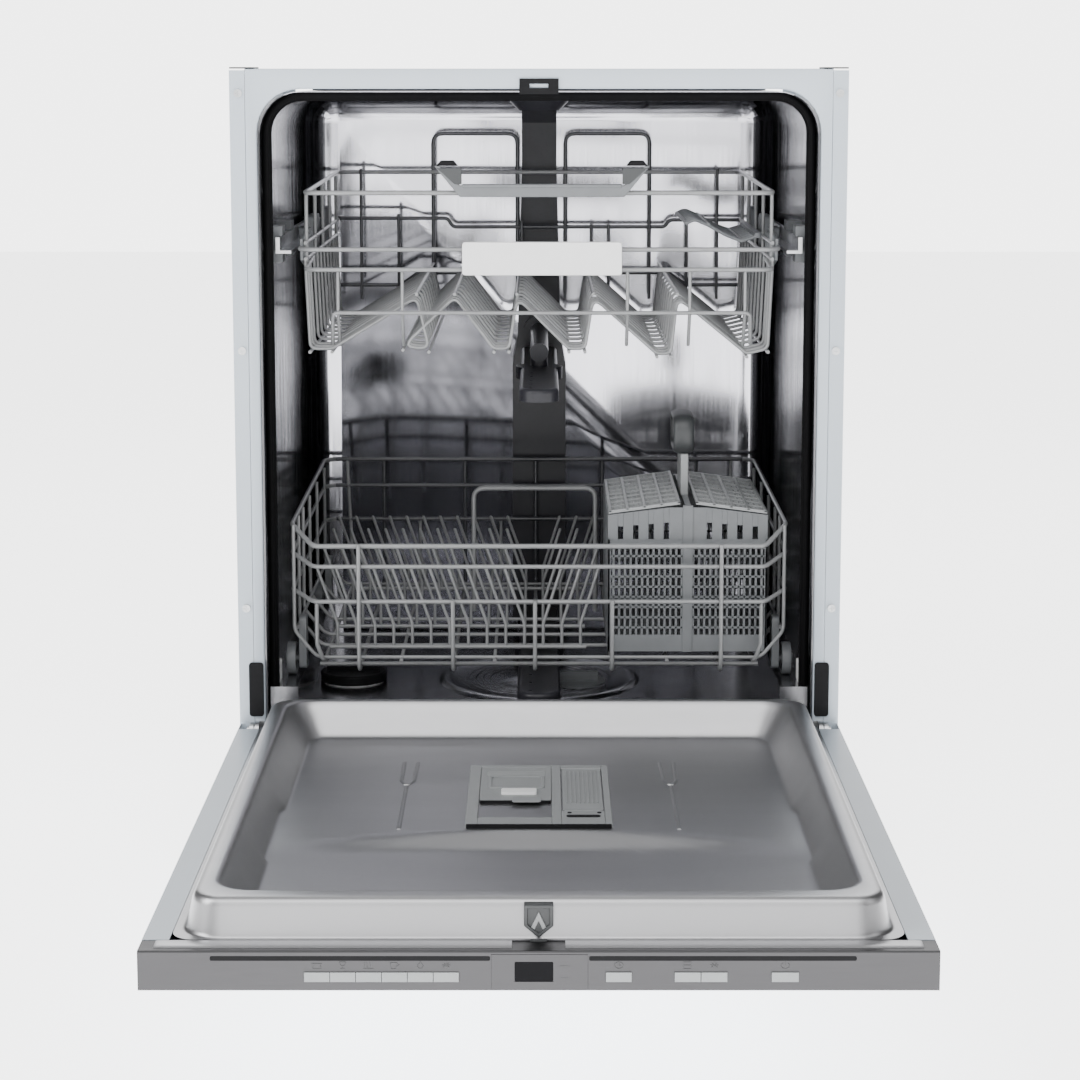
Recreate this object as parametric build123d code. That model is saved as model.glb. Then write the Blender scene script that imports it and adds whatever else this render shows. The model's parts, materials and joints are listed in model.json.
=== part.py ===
from build123d import *
import os
from math import atan2, degrees

# A built-in dishwasher with its door open. Millimetres, +Z up, +X to the user's right, -Y towards the user.
# Everything is drawn from the front face of the frame (Y = 0) and the floor (Z = 0). save() then moves it
# along Y, so that the origin is under the middle of the whole object.

# ---------------------------------------------------------------- driving dimensions
WIDTH = 598.0
HEIGHT = 815.0
BODY_DEPTH = 517.0
SHEET = 0.8
PLATE = 1.0
GAP = 0.3

TUB_HALF = 271.0
TUB_TOP = 791.0
TUB_DEPTH = 490.0
TUB_FLOOR = 150.0
TUB_TOP_RADIUS = 40.0
TUB_REAR_RADIUS = 37.0
LEDGE_Z = 196.0
LEDGE_INNER = 244.0
LEDGE_FRONT = 28.2
SEAM = 0.1

OPENING_HALF = 273.0
OPENING_TOP = 794.0
OPENING_BOTTOM = 158.0
OPENING_RADIUS = 42.0
FRAME_HALF = 284.0
FRAME_FOOT = 112.0
FRAME_TOP = 813.5

HINGE_Y = -7.5
HINGE_Z = 161.5
PIN_RADIUS = 3.0
RUNNING_FIT = 0.05

DOOR_HALF = 298.0
DOOR_NEAR = -3.0
DOOR_FAR = -658.0
DOOR_SKIN = 135.0
FLANGE = 166.0
FASCIA_DEPTH = 24.0
RIM_TOP = 196.0
RECESS_FLOOR = 163.8
RIM_TAPER = 12.0
RECESS_TAPER = 35.0

KEY_PROUD = 1.2

RACK_FRONT = 45.0
RACK_BACK = 465.0
WIRE = 2.0
THIN_WIRE = 1.6
WHEEL_RADIUS = 16.5

HUB_Y = 250.0
ARM_BORE = 9.05
ARM_HUB = 9.0

# tub and frame
STRIKE_HALF = 19.0
STRIKE_TOP = 804.0
STRIKE_BOTTOM = 789.0
SCREW_X = 290.5
SCREW_HEIGHTS = (283.0, 540.0, 790.0)
SCREW_RADIUS = 2.0
BRACKET_HOLE_X = 287.0
BRACKET_HOLE_Y = 25.0
BRACKET_HOLE = 2.6
SEAL_Y = (28.5, 39.5)
SEAL_LIP = 9.0
SEAL_SILL = 162.5
EAR_X = (279.0, 283.0)
EAR_REACH = 6.8
COVER_Z = (173.0, 228.0)
GUIDE_BLOCK_TOP = 218.0

# base
TRAY_BACK = 498.0
TRAY_FLOOR = 18.0
FOOT_HALF = 268.0
FOOT_FRONT = 90.0
FOOT_REAR = 460.0
FOOT_STEM = 6.0
SUMP_HOLE = 80.0
FILTER_X = 42.0
FILTER_Y = 227.0
FILTER_RADIUS = 26.0
SALT_X = -203.0
SALT_Y = 243.0
SALT_NECK = 33.0
INLET_X, INLET_Z, INLET_RADIUS = -210.0, 60.0, 13.2
DRAIN_X, DRAIN_Z, DRAIN_RADIUS = 205.0, 60.0, 10.0
GLAND_X, GLAND_Z, GLAND_RADIUS = 130.0, 82.0, 9.0
CONNECTOR_LENGTH = 14.0

# lower spray arm and upper feed
FEED_Z = 512.0
FEED_END = 463.0
LOWER_ARM_REACH = 216.0
LOWER_ARM_Z = (173.0, 187.0)
UPPER_ARM_REACH = 206.0
UPPER_ARM_Z = (483.0, 496.0)
DUCT_DEPTH = 12.0

# door
FURNITURE_X = 440.0
FURNITURE_Y = (-560.0, -110.0)
FURNITURE_HOLE = 2.5
HINGE_ARM_X = (284.2, 288.2)
HINGE_ARM_END = -170.0
DISPENSER = (-64.0, 64.0, -346.0, -158.0)
DISPENSER_TOP = 166.3
LATCH_HALF = 11.0
LATCH_Z = (167.5, 193.0)
TRACK = (-53.5, 11.5, -324.0, -165.5)
LID_FLOOR = 162.9
CUP = (-50.0, 8.0, -268.0, -170.0)
RINSE = (21.0, 57.0, -304.0, -171.0)
RINSE_HINGE = (-172.7, 164.9)
# left edge and right edge of each key on the fascia, from the left
KEY_PITCH = 19.2
KEYS = {f"key_program_{n + 1}": (-174 + n * KEY_PITCH, -174 + (n + 1) * KEY_PITCH - 0.5) for n in range(6)}
KEYS["key_delay"] = (50.0, 69.0)
KEYS["key_half_load"] = (101.0, 120.2)
KEYS["key_extra_dry"] = (120.8, 140.0)
KEYS["key_power"] = (173.0, 193.0)
KEY_BOTTOM, KEY_TOP = 142.2, 149.4
PANEL = (-35.0, 36.5, 136.5, 163.0)
SLOTS = ((-244.0, -36.0), (37.5, 236.0))

# lower rack
LOWER_SIDE = 251.0
LOWER_FOOT = 226.0
LOWER_FLOOR = 214.0
RIM_FRONT_HALF = 228.0
# heights of each rim of the lower rack: across the front, at the front of its sides, and at the back
LOWER_RIMS = ((337.0, 355.0, 361.0), (316.0, 326.0, 330.0), (280.0, 288.0, 290.0))
WHEEL_Y = (85.0, 400.0)
COMB_Y = 190.0
COMB_Z = 222.0
TINE_LEAN = 19.0
TINE_KNEE = 24.0
TINE_HEIGHT = 84.0
TINE_SPLIT = -10.0
TINE_PITCH = 19.3
TINE_COUNT = 14
TINES_FROM = -208.0
HOOP_Y = 287.0
BASKET = (70.0, 232.0, 62.0, 262.0)
BASKET_FLOOR = 224.5
BASKET_EDGE = 366.0
BASKET_RIDGE = 376.0
BASKET_X = 151.0
LID_DROP = BASKET_RIDGE - BASKET_EDGE
LID_HINGE_Z = BASKET_RIDGE + 3.4
LID_BARREL = 1.2
LID_OFFSET = 7.0
GRIP_LOW = 416.0
GRIP_TOP = 460.0

# upper rack
UPPER_SIDE = 232.0
RAIL_WEB = (257.0, 261.0)
RAIL_Z = (632.0, 648.0)
VALLEY = 536.0
PEAK = 588.0
CROSS_WIRES = (70.0, 150.0, 230.0, 310.0, 390.0, 445.0)
SHELF_EDGE = 226.0

# how far everything moves along Y when it is written
OBJECT_FRONT = DOOR_FAR - KEY_PROUD
CENTRE_SHIFT = -(OBJECT_FRONT + BODY_DEPTH) / 2


# ---------------------------------------------------------------- helpers
def block(x0, x1, y0, y1, z0, z1):
    """A box between two corners."""
    return Pos((x0 + x1) / 2, (y0 + y1) / 2, (z0 + z1) / 2) * Box(x1 - x0, y1 - y0, z1 - z0)


def rod(start, end, radius):
    """A round bar between two points."""
    along = Vector(*end) - Vector(*start)
    place = Plane(origin=start, z_dir=along)
    bottom = (Align.CENTER, Align.CENTER, Align.MIN)
    return place * Cylinder(radius, along.length, align=bottom)


def wires(paths, radius=WIRE):
    """Straight bars along each list of points."""
    return [rod(a, b, radius) for path in paths for a, b in zip(path, path[1:])]


def mirrored(shape):
    """A shape and its mirror image on the other side of the middle plane."""
    return [shape, mirror(shape, about=Plane.YZ)]


def plate_xz(points, y0, y1):
    """A flat outline in X and Z, given thickness from y0 to y1."""
    outline = make_face(Polyline([(x, y0, z) for x, z in points], close=True))
    return extrude(outline, amount=y1 - y0, dir=(0, 1, 0))


def plate_yz(points, x0, x1):
    """A flat outline in Y and Z, given thickness from x0 to x1."""
    outline = make_face(Polyline([(x0, y, z) for y, z in points], close=True))
    return extrude(outline, amount=x1 - x0, dir=(1, 0, 0))


def rounded_block(x0, x1, y0, y1, z0, height, radius, taper=0.0):
    """A block with round vertical corners, whose sides lean inwards by taper degrees along its height."""
    place = Plane(origin=((x0 + x1) / 2, (y0 + y1) / 2, z0), z_dir=(0, 0, 1 if height > 0 else -1))
    outline = place * RectangleRounded(x1 - x0, y1 - y0, radius)
    return extrude(outline, amount=abs(height), taper=taper)


def save(name, *shapes):
    """Writes one sub-part, moved so that the whole object stands centred over the origin."""
    solids = [solid for shape in shapes for solid in shape.solids()]
    export_step(Pos(0, CENTRE_SHIFT, 0) * Compound(solids), os.path.join("parts", name + ".step"))


# ---------------------------------------------------------------- tub and frame
def tub_space(grow):
    """The inside of the tub, grown outwards by some thickness and open at its foot and front."""
    half, top, back = TUB_HALF + grow, TUB_TOP + grow, TUB_DEPTH + grow
    space = block(-half, half, 0, back, TUB_FLOOR - PLATE, top)
    upper = space.edges().filter_by(Axis.Y).group_by(Axis.Z)[-1]
    space = fillet(upper, TUB_TOP_RADIUS + grow)
    rear = space.faces().sort_by(Axis.Y)[-1].edges().sort_by(Axis.Z)[1:]
    return fillet(rear, TUB_REAR_RADIUS + grow)


def make_tub():
    inside = tub_space(0)
    shell = tub_space(SHEET) - inside
    rear_start = TUB_DEPTH - TUB_REAR_RADIUS
    save("tub_wrapper", shell & block(-WIDTH, WIDTH, PLATE, rear_start, 0, HEIGHT))
    save("tub_back", shell & block(-WIDTH, WIDTH, rear_start, BODY_DEPTH, 0, HEIGHT))

    floor = block(-LEDGE_INNER, LEDGE_INNER, PLATE, TUB_DEPTH, TUB_FLOOR - PLATE, TUB_FLOOR)
    apron = block(LEDGE_INNER - PLATE, TUB_HALF, PLATE, LEDGE_FRONT, TUB_FLOOR - PLATE, TUB_FLOOR)
    web = block(LEDGE_INNER - PLATE, LEDGE_INNER, LEDGE_FRONT, TUB_DEPTH, TUB_FLOOR - PLATE, LEDGE_Z)
    riser = block(LEDGE_INNER - PLATE, TUB_HALF, LEDGE_FRONT, LEDGE_FRONT + PLATE, TUB_FLOOR - PLATE, LEDGE_Z)
    ledge = block(LEDGE_INNER - PLATE, TUB_HALF, LEDGE_FRONT, TUB_DEPTH, LEDGE_Z - PLATE, LEDGE_Z)
    for side in mirrored(apron + web + riser + ledge):
        floor += side
    floor -= Pos(0, HUB_Y, TUB_FLOOR) * Cylinder(SUMP_HOLE, 10)
    floor -= Pos(SALT_X, SALT_Y, TUB_FLOOR) * Cylinder(SALT_NECK + GAP, 10)
    save("tub_floor", floor & tub_space(-SEAM))


def arched(half, top, bottom, radius, y0, y1):
    """A block with two round top corners, as the frame's opening has."""
    body = block(-half, half, y0, y1, bottom, top)
    return fillet(body.edges().filter_by(Axis.Y).group_by(Axis.Z)[-1], radius)


def make_front_frame():
    frame = block(-FRAME_HALF, FRAME_HALF, 0, PLATE, FRAME_FOOT, FRAME_TOP)
    frame += block(-FRAME_HALF, FRAME_HALF, 0, 40, FRAME_TOP - PLATE, FRAME_TOP)
    frame -= arched(OPENING_HALF, OPENING_TOP, OPENING_BOTTOM, OPENING_RADIUS, -5, 5)
    frame -= block(-STRIKE_HALF - GAP, STRIKE_HALF + GAP, -5, 5, OPENING_TOP - 5, STRIKE_TOP + GAP)
    save("front_frame", frame)


def make_latch_strike():
    plate = block(-STRIKE_HALF, STRIKE_HALF, -2, PLATE, STRIKE_BOTTOM, STRIKE_TOP)
    tongue = block(-8, 8, PLATE, 13, STRIKE_BOTTOM, STRIKE_BOTTOM + 1.7)
    slot = block(-9, 9, -3, PLATE + 1, STRIKE_BOTTOM + 6, STRIKE_BOTTOM + 10)
    save("latch_strike", plate + tongue - slot)


def make_side_panels():
    outer, inner = WIDTH / 2, FRAME_HALF + GAP
    panel = block(outer - SHEET, outer, 0, BODY_DEPTH, FRAME_FOOT, FRAME_TOP - 1.5)
    panel += block(inner, outer, 0, SHEET, FRAME_FOOT, FRAME_TOP - 1.5)
    panel += block(inner, outer, BODY_DEPTH - SHEET, BODY_DEPTH, FRAME_FOOT, FRAME_TOP - 1.5)
    for z in SCREW_HEIGHTS:
        panel -= rod((SCREW_X, -5, z), (SCREW_X, 5, z), SCREW_RADIUS + RUNNING_FIT)
    save("side_panels", *mirrored(panel))


def make_frame_screws():
    screws = []
    for z in SCREW_HEIGHTS:
        shank = rod((SCREW_X, 0, z), (SCREW_X, 12, z), SCREW_RADIUS)
        head = rod((SCREW_X, -1.8, z), (SCREW_X, 0, z), 2 * SCREW_RADIUS)
        cross = block(SCREW_X - 2.2, SCREW_X + 2.2, -2, -1, z - 0.4, z + 0.4)
        cross += block(SCREW_X - 0.4, SCREW_X + 0.4, -2, -1, z - 2.2, z + 2.2)
        screws += mirrored(shank + head - cross)
    save("frame_screws", *screws)


def make_worktop_brackets():
    strap = block(275, WIDTH / 2 - 0.5, -1, 45, FRAME_TOP, HEIGHT)
    hole = rod((BRACKET_HOLE_X, BRACKET_HOLE_Y, 800), (BRACKET_HOLE_X, BRACKET_HOLE_Y, 820), BRACKET_HOLE)
    save("worktop_brackets", *mirrored(strap - hole))


def make_door_seal():
    """A rubber ring that the door's rim closes on, and a low strip across the sill."""
    (y0, y1), lip = SEAL_Y, SEAL_LIP
    ring = arched(TUB_HALF, TUB_TOP, LEDGE_Z, TUB_TOP_RADIUS, y0, y1)
    ring -= arched(TUB_HALF - lip, TUB_TOP - lip, LEDGE_Z - 10, TUB_TOP_RADIUS - lip, y0 - 5, y1 + 5)
    sill = block(-LEDGE_INNER + PLATE, LEDGE_INNER - PLATE, 4, 16, TUB_FLOOR, SEAL_SILL)
    save("door_seal", ring, sill)


def make_hinge_brackets():
    """A foot plate, an ear and a riveted pin on each side, which the door's hinge arms turn on."""
    x0, x1 = EAR_X
    ear = block(x0, x1, HINGE_Y, 0, HINGE_Z - EAR_REACH, HINGE_Z + EAR_REACH)
    ear += rod((x0, HINGE_Y, HINGE_Z), (x1, HINGE_Y, HINGE_Z), EAR_REACH)
    foot = block(x0 - 5, x1 + 0.5, -PLATE, 0, FRAME_FOOT + 6, HINGE_Z + EAR_REACH)
    pin = rod((x1, HINGE_Y, HINGE_Z), (x1 + 8, HINGE_Y, HINGE_Z), PIN_RADIUS)
    save("hinge_brackets", *mirrored(ear + foot + pin))


def make_hinge_trims():
    """Flat covers on the frame above the hinges, and the guide blocks beside the lower rack."""
    cover = block(274.5, 289, -2.4, 0, *COVER_Z)
    guide = fillet(block(262.5, TUB_HALF - GAP, 42, 62, LEDGE_Z, GUIDE_BLOCK_TOP).edges().filter_by(Axis.Y), 1.5)
    save("hinge_trims", *mirrored(cover), *mirrored(guide))


# ---------------------------------------------------------------- base


def foot_places():
    return [(x, y) for x in (-FOOT_HALF, FOOT_HALF) for y in (FOOT_FRONT, FOOT_REAR)]


def make_base_tray():
    half = WIDTH / 2
    tray = block(-half, half, 55, TRAY_BACK, TRAY_FLOOR, FRAME_FOOT)
    tray -= block(-half + 3, half - 3, 58, TRAY_BACK - 3, TRAY_FLOOR + 3, FRAME_FOOT + 5)
    for x, y in foot_places():
        tray += Pos(x, y, (TRAY_FLOOR + 90) / 2) * Cylinder(12, 90 - TRAY_FLOOR)
        tray -= Pos(x, y, 40) * Cylinder(FOOT_STEM + 0.1, 90)
    save("base_tray", tray)


def make_levelling_feet():
    feet = []
    for x, y in foot_places():
        pad = fillet((Pos(x, y, 5) * Cylinder(19, 10)).edges().group_by(Axis.Z)[-1], 2)
        nut = Pos(x, y, 12.5) * extrude(RegularPolygon(10, 6), amount=2.5, both=True)
        stem = Pos(x, y, 45) * Cylinder(FOOT_STEM, 60)
        feet.append(pad + nut + stem)
    save("levelling_feet", *feet)


def make_plinth_plate():
    plate = block(-292, 292, 50, 51, 22, FRAME_FOOT)
    plate += block(-292, 292, 51, 55, FRAME_FOOT - PLATE, FRAME_FOOT)
    save("plinth_plate", plate)


def make_sump():
    """The bowl under the tub floor, with the post that the lower spray arm turns on."""
    bowl = Pos(0, HUB_Y, 124.5) * Cylinder(SUMP_HOLE + 6, 49)
    bowl -= Pos(0, HUB_Y, 130) * Cylinder(SUMP_HOLE + 3, 54)
    bowl += Pos(0, HUB_Y, 130) * Cylinder(12, 60)
    bowl += rod((0, HUB_Y, 155), (0, HUB_Y, 188), ARM_HUB)
    bowl += Pos(0, HUB_Y, 189.8) * Cone(14, 10, 5)
    save("sump", bowl)


def make_filters():
    plate = Pos(0, HUB_Y, TUB_FLOOR + 0.75) * Cylinder(104, 1.5)
    plate -= Pos(0, HUB_Y, TUB_FLOOR) * Cylinder(14, 10)
    plate -= Pos(FILTER_X, FILTER_Y, TUB_FLOOR) * Cylinder(FILTER_RADIUS + 0.5, 10)
    save("filter_plate", plate)

    centre = (FILTER_X, FILTER_Y)
    body = Pos(*centre, 129) * Cylinder(FILTER_RADIUS, 46)
    body -= Pos(*centre, 130) * Cylinder(FILTER_RADIUS - 2.5, 39)
    body += Pos(*centre, 153) * Cylinder(30, 2.4)
    body += Pos(*centre, 159) * Box(44, 7, 10)
    save("filter_cylinder", body)


def make_softener():
    tank = fillet(block(-284, -150, 176, 310, 26, 138).edges().filter_by(Axis.Z), 12)
    neck = Pos(SALT_X, SALT_Y, 144.75) * Cylinder(SALT_NECK, 13.5)
    save("softener", tank + neck)

    cap = Pos(SALT_X, SALT_Y, 157) * Cylinder(36, 10)
    cap = fillet(cap.edges().group_by(Axis.Z)[-1], 2.5)
    save("salt_cap", cap + Pos(SALT_X, SALT_Y, 164) * Box(58, 9, 5))


def make_pumps():
    """The circulation pump with its heater collar, and the drain pump."""
    motor = rod((-60, 390, 66), (90, 390, 66), 36) + rod((90, 390, 66), (122, 390, 66), 43)
    motor += rod((122, 390, 66), (150, 390, 66), 16)
    drain = rod((-150, 420, 54), (-90, 420, 54), 26) + rod((-170, 420, 54), (-150, 420, 54), 32)
    save("pumps", motor, drain)


def make_rear_connections():
    """The water inlet, the drain outlet and the mains lead's gland, each with a flange on the tray's back."""
    pieces = []
    for x, z, radius in ((INLET_X, INLET_Z, INLET_RADIUS), (DRAIN_X, DRAIN_Z, DRAIN_RADIUS),
                         (GLAND_X, GLAND_Z, GLAND_RADIUS)):
        start, end = TRAY_BACK, TRAY_BACK + 3 + CONNECTOR_LENGTH
        piece = block(x - radius - 7, x + radius + 7, start, start + 3, z - radius - 7, z + radius + 7)
        piece += rod((x, start, z), (x, end, z), radius)
        piece -= rod((x, start - 1, z), (x, end + 1, z), radius * 0.6)
        pieces.append(piece)
    save("rear_connections", *pieces)


def make_spray_duct():
    """The duct up the tub's back wall and along its ceiling, with the docking cup and the ceiling sprayer."""
    back, deep = TUB_DEPTH - SEAM, DUCT_DEPTH
    route = [(back, 165), (back, 754), (back - 11, 779.8), (453, TUB_TOP - SEAM), (225, TUB_TOP - SEAM),
             (225, 779), (450, 779), (470, 770), (back - deep, 752), (back - deep, 165)]
    duct = plate_yz(route, -20, 20)
    flared = [(-31, 165), (31, 165), (31, 470), (25, 505), (20, 700), (-20, 700), (-25, 505), (-31, 470)]
    duct += plate_xz(flared, back - deep, back)
    duct += rod((0, FEED_END + 0.5, FEED_Z), (0, back - deep + 1, FEED_Z), 18)
    duct += Pos(0, HUB_Y, 775) * Cone(22, 32, 10)
    save("spray_duct", duct)


# ---------------------------------------------------------------- lower spray arm and upper feed


def spray_arm(reach, width, z0, z1):
    """A flat arm with round ends, thicker at its hub, which turns about Z at the hub."""
    arm = extrude(Plane((0, HUB_Y, z0)) * (Rot(0, 0, 90) * SlotOverall(2 * reach, width)), amount=z1 - z0)
    arm = fillet(arm.edges().group_by(Axis.Z)[-1], 4)
    arm += Pos(0, HUB_Y, (z0 + z1) / 2) * Cylinder(width / 2 + 5, z1 - z0)
    arm -= Pos(0, HUB_Y, z0) * Cylinder(ARM_BORE, 60)
    for step in range(1, 6):
        for side in (-1, 1):
            y = HUB_Y + side * (30 + step * (reach - 45) / 5)
            arm -= Pos(width / 5 * side, y, z1) * Cylinder(1.8, 4)
    return arm


def make_spray_arms():
    save("lower_spray_arm", spray_arm(LOWER_ARM_REACH, 44, *LOWER_ARM_Z))
    save("upper_spray_arm", spray_arm(UPPER_ARM_REACH, 40, *UPPER_ARM_Z))

    pipe = rod((0, HUB_Y - 14, FEED_Z), (0, FEED_END, FEED_Z), 10)
    pipe += Pos(0, HUB_Y, 493) * Cylinder(ARM_HUB, 26)
    pipe += Pos(0, HUB_Y, 480.5) * Cylinder(14, 4)
    save("upper_feed_pipe", pipe)


# ---------------------------------------------------------------- door
def make_door_outer_panel():
    near, far = DOOR_NEAR, DOOR_FAR + FASCIA_DEPTH
    panel = block(-DOOR_HALF, DOOR_HALF, far, near, DOOR_SKIN, FLANGE)
    panel -= block(-DOOR_HALF + SHEET, DOOR_HALF - SHEET, far - 5, near - SHEET, DOOR_SKIN + SHEET, FLANGE + 5)
    for flange in mirrored(block(277.4, DOOR_HALF, far, -24, FLANGE - SHEET, FLANGE)):
        panel += flange
    for notch in mirrored(block(273, 293, -6, 0, 150, 170)):
        panel -= notch
    for x in (-FURNITURE_X / 2, FURNITURE_X / 2):
        for y in FURNITURE_Y:
            panel -= rod((x, y, DOOR_SKIN - 5), (x, y, DOOR_SKIN + 5), FURNITURE_HOLE)
    save("door_outer_panel", panel)


def make_door_liner():
    """The pressed inner sheet: a flat flange, a raised rim that enters the tub, and the recess inside it."""
    rim_height = RIM_TOP - (FLANGE - SHEET)
    flange = block(-277, 277, DOOR_FAR + FASCIA_DEPTH, -6, FLANGE - SHEET, FLANGE)
    for corner in mirrored(block(272, 290, -24, 0, 150, 180)):
        flange -= corner
    rim = rounded_block(-268.5, 268.5, -632.5, -12, FLANGE - SHEET, rim_height, 30, RIM_TAPER)
    under = rounded_block(-267.6, 267.6, -631.6, -12.9, FLANGE - SHEET, rim_height - SHEET, 29.2, RIM_TAPER)
    depth = RIM_TOP - RECESS_FLOOR
    recess = rounded_block(-247, 247, -607, -27, RIM_TOP, -depth, 28, RECESS_TAPER)
    pan = rounded_block(-248, 248, -608, -26, RIM_TOP, -depth - SHEET, 29, RECESS_TAPER)
    liner = flange + rim + pan - (under - pan) - recess
    x0, x1, y0, y1 = DISPENSER
    liner -= block(x0 + 3, x1 - 3, y0 + 3, y1 - 3, 150, 175)
    liner -= block(-LATCH_HALF - GAP, LATCH_HALF + GAP, -650, -612, LATCH_Z[0] - GAP, LATCH_Z[1] + GAP)
    save("door_liner", liner)


def make_latch_housing():
    points = [(-LATCH_HALF, LATCH_Z[1]), (LATCH_HALF, LATCH_Z[1]), (LATCH_HALF, 176), (0, LATCH_Z[0]),
              (-LATCH_HALF, 176)]
    shield = plate_xz(points, -634.5, -626)
    body = block(-LATCH_HALF, LATCH_HALF, -626, -614, 176, LATCH_Z[1])
    save("latch_housing", shield + body)


def make_dispenser():
    """The detergent cup with a sliding lid, and beside it the rinse-aid filler with a hinged lid."""
    x0, x1, y0, y1 = DISPENSER
    body = block(x0, x1, y0, y1, RECESS_FLOOR, DISPENSER_TOP)
    body += block(x0 + 3.5, x1 - 3.5, y0 + 3.5, y1 - 3.5, 140, RECESS_FLOOR)
    body -= block(TRACK[0], TRACK[1], TRACK[2], TRACK[3], LID_FLOOR, 180)
    body -= block(CUP[0], CUP[1], CUP[2], CUP[3], 142.5, 180)
    body -= block(RINSE[0] - 0.5, RINSE[1] + 0.5, RINSE[2] - 0.5, RINSE[3] + 3, LID_FLOOR, 180)
    body -= block(RINSE[0] + 8, RINSE[1] - 8, RINSE[2] - 14, RINSE[2], 163.5, 180)
    body -= Pos((RINSE[0] + RINSE[1]) / 2, -240, 156) * Cylinder(11, 24)
    save("dispenser_body", body)

    lid = block(TRACK[0] + GAP, TRACK[1] - GAP, -272, TRACK[3] - GAP, LID_FLOOR + GAP, 167.2)
    lid += block(-30, 6, -250, -240, 167.2, 169.2)
    save("detergent_lid", lid)

    cover = block(RINSE[0], RINSE[1], RINSE[2], RINSE_HINGE[0], LID_FLOOR + GAP, 166.6)
    cover += rod((RINSE[0], *RINSE_HINGE), (RINSE[1], *RINSE_HINGE), 1.7)
    for rib in range(7):
        x = RINSE[0] + 6 + rib * 4
        cover += block(x, x + 1.2, RINSE[2] + 30, RINSE[3] - 12, 166.6, 167.2)
    save("rinse_aid_lid", cover)


def make_hinge_arms():
    x0, x1 = HINGE_ARM_X
    arm = rod((x0, HINGE_Y, HINGE_Z), (x1, HINGE_Y, HINGE_Z), EAR_REACH)
    arm += block(x0, x1, HINGE_ARM_END, HINGE_Y, HINGE_Z - EAR_REACH, HINGE_Z + 2)
    arm -= rod((x0 - 4, HINGE_Y, HINGE_Z), (x1 + 7, HINGE_Y, HINGE_Z), PIN_RADIUS + RUNNING_FIT)
    fixing = block(x1, DOOR_HALF - SHEET, HINGE_ARM_END + 2, -60, HINGE_Z - 5, HINGE_Z + 1)
    save("hinge_arms", *mirrored(arm + fixing))


def make_fascia():
    front, back = DOOR_FAR, DOOR_FAR + FASCIA_DEPTH - GAP
    fascia = block(-DOOR_HALF, DOOR_HALF, front, back, 134.7, FLANGE - 0.4)
    fascia = fillet(fascia.edges().filter_by(Axis.X).sort_by(Axis.Y)[:2], 1.5)
    fascia -= block(-288, 288, front + 3.5, back + 5, 138, 162)
    for x0, x1 in KEYS.values():
        fascia -= block(x0 - 0.25, x1 + 0.25, front - 5, front + 5, KEY_BOTTOM - 0.25, KEY_TOP + 0.25)
    fascia -= block(PANEL[0] - 0.2, PANEL[1] + 0.2, front - 5, front + 2, PANEL[2] - 0.2, PANEL[3] + 0.2)
    for x0, x1 in SLOTS:
        fascia -= block(x0, x1, front - 5, front + 1.6, 158.6, 161.4)
    save("door_fascia", fascia)

    panel = block(PANEL[0], PANEL[1], front - 0.4, front + 2, PANEL[2], PANEL[3])
    window = block(-18, 11, front - 1, front + 0.4, 142, 157.5)
    save("display_panel", panel - window)

    board = block(-240, 240, -642, -640.4, 140, 160)
    for x in range(-200, 201, 50):
        board += block(x, x + 12, -640.4, -637.5, 146, 154)
    save("control_board", board)


def make_keys():
    for name, (x0, x1) in KEYS.items():
        cap = block(x0, x1, DOOR_FAR - KEY_PROUD, DOOR_FAR + 6, KEY_BOTTOM, KEY_TOP)
        stem = block((x0 + x1) / 2 - 2, (x0 + x1) / 2 + 2, DOOR_FAR + 6, DOOR_FAR + 13, 144, 148)
        save(name, cap + stem)


# ---------------------------------------------------------------- lower rack


def wire_loop(front_z, side_z, back_z, side, front_half):
    """A rim that runs round the rack, low across the front and higher along its sides and back."""
    front, back = RACK_FRONT, RACK_BACK
    loop = [(-side, back, back_z), (-side, front + 20, side_z), (-front_half, front, front_z),
            (front_half, front, front_z), (side, front + 20, side_z), (side, back, back_z),
            (-side, back, back_z)]
    return loop


def tines(y, base_z):
    """A row of tines on a bar along X. The ones left of the middle lean left, and the others lean right."""
    last = TINES_FROM + TINE_PITCH * (TINE_COUNT - 1)
    row = [rod((TINES_FROM - 8, y, base_z), (last + 8, y, base_z), WIRE)]
    for n in range(TINE_COUNT):
        x = TINES_FROM + n * TINE_PITCH
        side = -1 if x < TINE_SPLIT else 1
        knee = (x, y, base_z + TINE_KNEE)
        tip = (x + side * TINE_LEAN, y, base_z + TINE_HEIGHT)
        row += [rod((x, y, base_z + WIRE), knee, THIN_WIRE), rod(knee, tip, THIN_WIRE)]
    return row


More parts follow.
